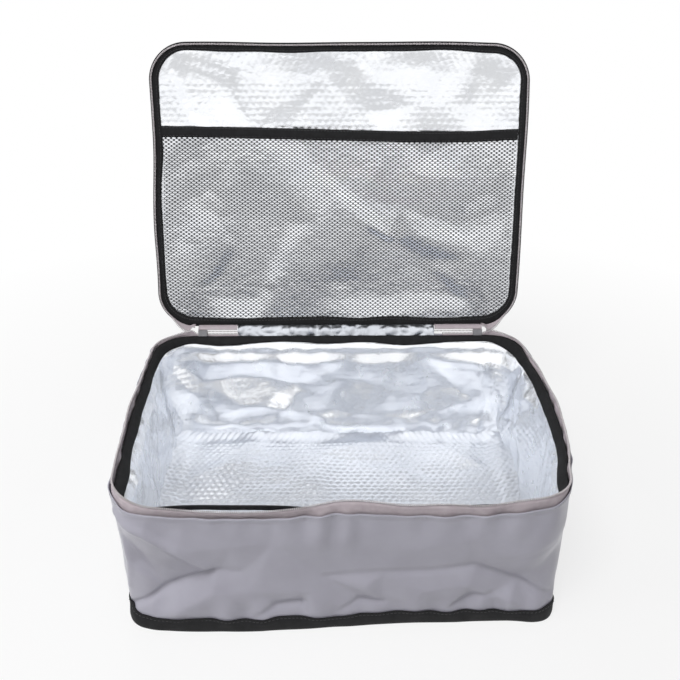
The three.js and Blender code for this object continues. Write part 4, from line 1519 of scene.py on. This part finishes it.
def make_strap():
    """The handle's webbing, which arches between its two sewn ends."""
    x = np.linspace(-STRAP_HALF, STRAP_HALF, STRAP_STEPS)
    arch = (1 - np.clip(x / ARCH_HALF, -1, 1) ** 4) ** 2
    z = STRAP_SEAT + (ARCH_RISE - LID_CROWN) * arch
    normal = left_of(np.column_stack([x, z]))
    across = np.linspace(-1, 1, 13)
    half = STRAP_THICK / 2 * (1 - 0.75 * np.abs(across) ** 8)
    y = across[None, :] * STRAP / 2 * (1 - STRAP_PINCH * arch)[:, None]
    faces = []
    for side in (1, -1):
        offset = side * half[None, :] + STRAP_CURL * across**2 * arch[:, None]
        face = np.stack([x[:, None] + normal[:, :1] * offset, y, z[:, None] + normal[:, 1:] * offset], -1)
        faces.append(face[:, ::side])
    points = np.concatenate(faces, axis=1)
    strap = strip_object("handle_strap", points, x, across * STRAP / 2, WEBBING, False, opened)
    finish_piece(strap, "lid", "webbing", "carry_handle")


def make_strap_stitches():
    """A sewn box with a cross at each end of the strap."""
    near, far, half = ARCH_HALF + 6.0, STRAP_HALF - 4.0, STRAP / 2 - 4.0
    box = [(near, -half), (far, -half), (far, half), (near, half), (near, -half), (far, half)]
    cross = [(far, -half), (near, half)]
    origins = []
    heads = []
    for side, _ in SIDES:
        for line in (np.array(box), np.array(cross)):
            for a, b in zip(line * (side, 1), line[1:] * (side, 1)):
                span = b - a
                count = int(np.hypot(*span) / STRAP_STITCH_PITCH)
                for k in range(count):
                    origins.append((*(a + span * (k + 0.5) / count), STRAP_SEAT + STRAP_THICK / 2))
                    heads.append((*(span / np.hypot(*span)), 0.0))
    facing = np.tile([0.0, 0.0, 1.0], (len(origins), 1))
    sewing = pills(
        "handle_stitches", np.array(origins), np.array(heads), facing, STRAP_STITCH, THREAD, opened
    )
    finish_piece(sewing, "lid", "webbing")


# Sliders and pull tabs keep their CAD shapes, with soft edges

def dress_metal():
    """Gives the metal nodes their finish and a small bevel."""
    for name in ("slider_left", "slider_right", "pull_tab_left", "pull_tab_right"):
        node = frame["nodes"][name]
        node.data.materials.clear()
        node.data.materials.append(METAL)
        bevel = node.modifiers.new("soft_edges", "BEVEL")
        bevel.width = 0.25 * MM
        bevel.segments = 2
        bevel.limit_method = "ANGLE"


# Stage, light and camera

LENS = 46.86
SENSOR = 36.0
CAMERA_TARGET = (-0.0017, 0.0, 0.2155)
CAMERA_DISTANCE = 0.8598
CAMERA_ELEVATION = math.radians(27.48)
CAMERA_YAW = math.radians(-0.5)


def make_camera():
    """The photograph's camera."""
    data = bpy.data.cameras.new("camera")
    data.lens = LENS
    data.sensor_width = SENSOR
    camera = put("camera", data)
    level = math.cos(CAMERA_ELEVATION)
    back = Vector((math.sin(CAMERA_YAW) * level, -math.cos(CAMERA_YAW) * level, math.sin(CAMERA_ELEVATION)))
    camera.location = Vector(CAMERA_TARGET) + back * CAMERA_DISTANCE
    camera.rotation_euler = back.to_track_quat("Z", "Y").to_euler()
    bpy.context.scene.camera = camera


def seen_directly(tree):
    """1 for rays from the camera, and 1 for those that metal or glass sends on."""
    path = add(tree, "ShaderNodeLightPath")
    mirrored = combine(tree, "MAXIMUM", path.outputs["Is Glossy Ray"], path.outputs["Is Transmission Ray"])
    return path.outputs["Is Camera Ray"], mirrored


WORLD_SOFT = 0.3  # what the studio gives to cloth
# What metal shows of the studio, as (upward part of the way, brightness): dim along the horizon, bright just
# above it and overhead
WORLD_BANDS = ((0.0, 0.72), (0.03, 0.74), (0.11, 1.28), (0.2, 1.22), (0.32, 0.9), (0.58, 1.35))


def make_world():
    """A white studio, which gives cloth a soft light and metal something to mirror."""
    world = bpy.data.worlds.new("studio")
    world.use_nodes = True
    tree = world.node_tree
    tree.nodes.clear()
    way = add(tree, "ShaderNodeTexCoord").outputs["Generated"]
    height = add(tree, "ShaderNodeSeparateXYZ", Vector=way).outputs["Z"]
    grade = add(tree, "ShaderNodeValToRGB", Fac=height)
    bands = grade.color_ramp.elements
    while len(bands) < len(WORLD_BANDS):
        bands.new(0.5)
    for band, (place, bright) in zip(bands, WORLD_BANDS):
        band.position = place
        band.color = (bright, bright, bright, 1)
    grade = grade.outputs["Color"]
    camera, mirrored = seen_directly(tree)
    shown = combine(tree, "MULTIPLY", mirrored, combine(tree, "SUBTRACT", grade, WORLD_SOFT))
    strength = combine(tree, "MAXIMUM", camera, combine(tree, "ADD", shown, WORLD_SOFT))
    white = add(tree, "ShaderNodeBackground", Color=(1, 1, 1, 1), Strength=strength)
    output = tree.nodes.new("ShaderNodeOutputWorld")
    tree.links.new(white.outputs[0], output.inputs["Surface"])
    bpy.context.scene.world = world


def ramp_over(tree, value, span, result):
    """A value's place in a span, as a place between two results."""
    ends = {"From_Min": span[0], "From_Max": span[1], "To_Min": result[0], "To_Max": result[1]}
    return add(tree, "ShaderNodeMapRange", Value=value, **ends).outputs["Result"]


FLOOR_SIZE = 6.0
FLOOR_WHITE = 0.7
FLOOR_GLOW = (1.5, 0.7)  # what metal shows of the floor, near the bag and far off
FLOOR_REACH = (0.45, 1.1)
FLOOR_FADE = (0.35, 0.9)  # where the floor turns from shaded to plain white
FLOOR_NEAR = 0.75  # share of plain white near the bag, where the floor keeps its shadow


def make_floor():
    """A pale floor, white to the camera, with the bag's shadow."""
    material = bpy.data.materials.new("pale_floor")
    material.use_nodes = True
    tree = material.node_tree
    tree.nodes.clear()
    matt = add(tree, "ShaderNodeBsdfDiffuse", Color=(FLOOR_WHITE, FLOOR_WHITE, FLOOR_WHITE, 1))
    camera, mirrored = seen_directly(tree)
    place = add(tree, "ShaderNodeNewGeometry").outputs["Position"]
    away = add(tree, "ShaderNodeVectorMath", {"operation": "LENGTH"}, Vector=place).outputs["Value"]
    near_glow, far_glow = FLOOR_GLOW
    graded = ramp_over(tree, away, FLOOR_REACH, (near_glow - 1.0, far_glow - 1.0))
    glow = combine(tree, "MULTIPLY_ADD", mirrored, graded, 1.0)
    white = add(tree, "ShaderNodeEmission", Color=(1, 1, 1, 1), Strength=glow)
    far = ramp_over(tree, away, FLOOR_FADE, (FLOOR_NEAR, 1.0))
    share = combine(tree, "MULTIPLY", combine(tree, "MAXIMUM", camera, mirrored), far)
    mix = tree.nodes.new("ShaderNodeMixShader")
    tree.links.new(share, mix.inputs["Fac"])
    tree.links.new(matt.outputs[0], mix.inputs[1])
    tree.links.new(white.outputs[0], mix.inputs[2])
    output = tree.nodes.new("ShaderNodeOutputMaterial")
    tree.links.new(mix.outputs[0], output.inputs["Surface"])
    half = FLOOR_SIZE / 2 / MM
    corners = [(-half, -half, 0), (half, -half, 0), (half, half, 0), (-half, half, 0)]
    floor = make_object("floor", corners, [np.array([[0, 1, 2, 3]])], material, smooth=False)


LIGHT_AIM = (0.0, 0.05, 0.2)
KEY_PLACE = (-0.4, -1.1, 2.1)
KEY_SIZE = (1.2, 0.9)


def area_light(name, place, size, power, gloss=False):
    """A soft lamp aimed at the bag. It lights cloth, or with gloss it is mirrored in metal instead."""
    data = bpy.data.lights.new(name, "AREA")
    data.shape = "RECTANGLE"
    data.size, data.size_y = size
    data.energy = power
    light = put(name, data)
    light.location = place
    light.rotation_euler = (Vector(place) - Vector(LIGHT_AIM)).to_track_quat("Z", "Y").to_euler()
    light.visible_glossy = gloss
    light.visible_diffuse = not gloss


def make_lights():
    """A key lamp from the left and above, its shine on metal, and two weaker lamps."""
    area_light("key", KEY_PLACE, KEY_SIZE, 42)
    area_light("shine", KEY_PLACE, KEY_SIZE, 20, gloss=True)
    area_light("left", (-1.7, -0.5, 0.8), (0.8, 1.0), 9)
    area_light("back", (-0.5, 1.9, 0.9), (1.2, 1.0), 12)


bpy.context.scene.view_settings.view_transform = "Standard"
make_camera()
make_world()
make_floor()
make_lights()
make_wall_fabric()
make_wall_foam()
make_wall_foil()
make_base()
make_floor_foil()
make_base_tape()
make_rim()
make_lower_zip()
make_hinge()
make_lid_shell()
make_lid_lining()
make_upper_zip()
make_net()
make_net_band()
make_strap()
make_strap_stitches()
dress_metal()
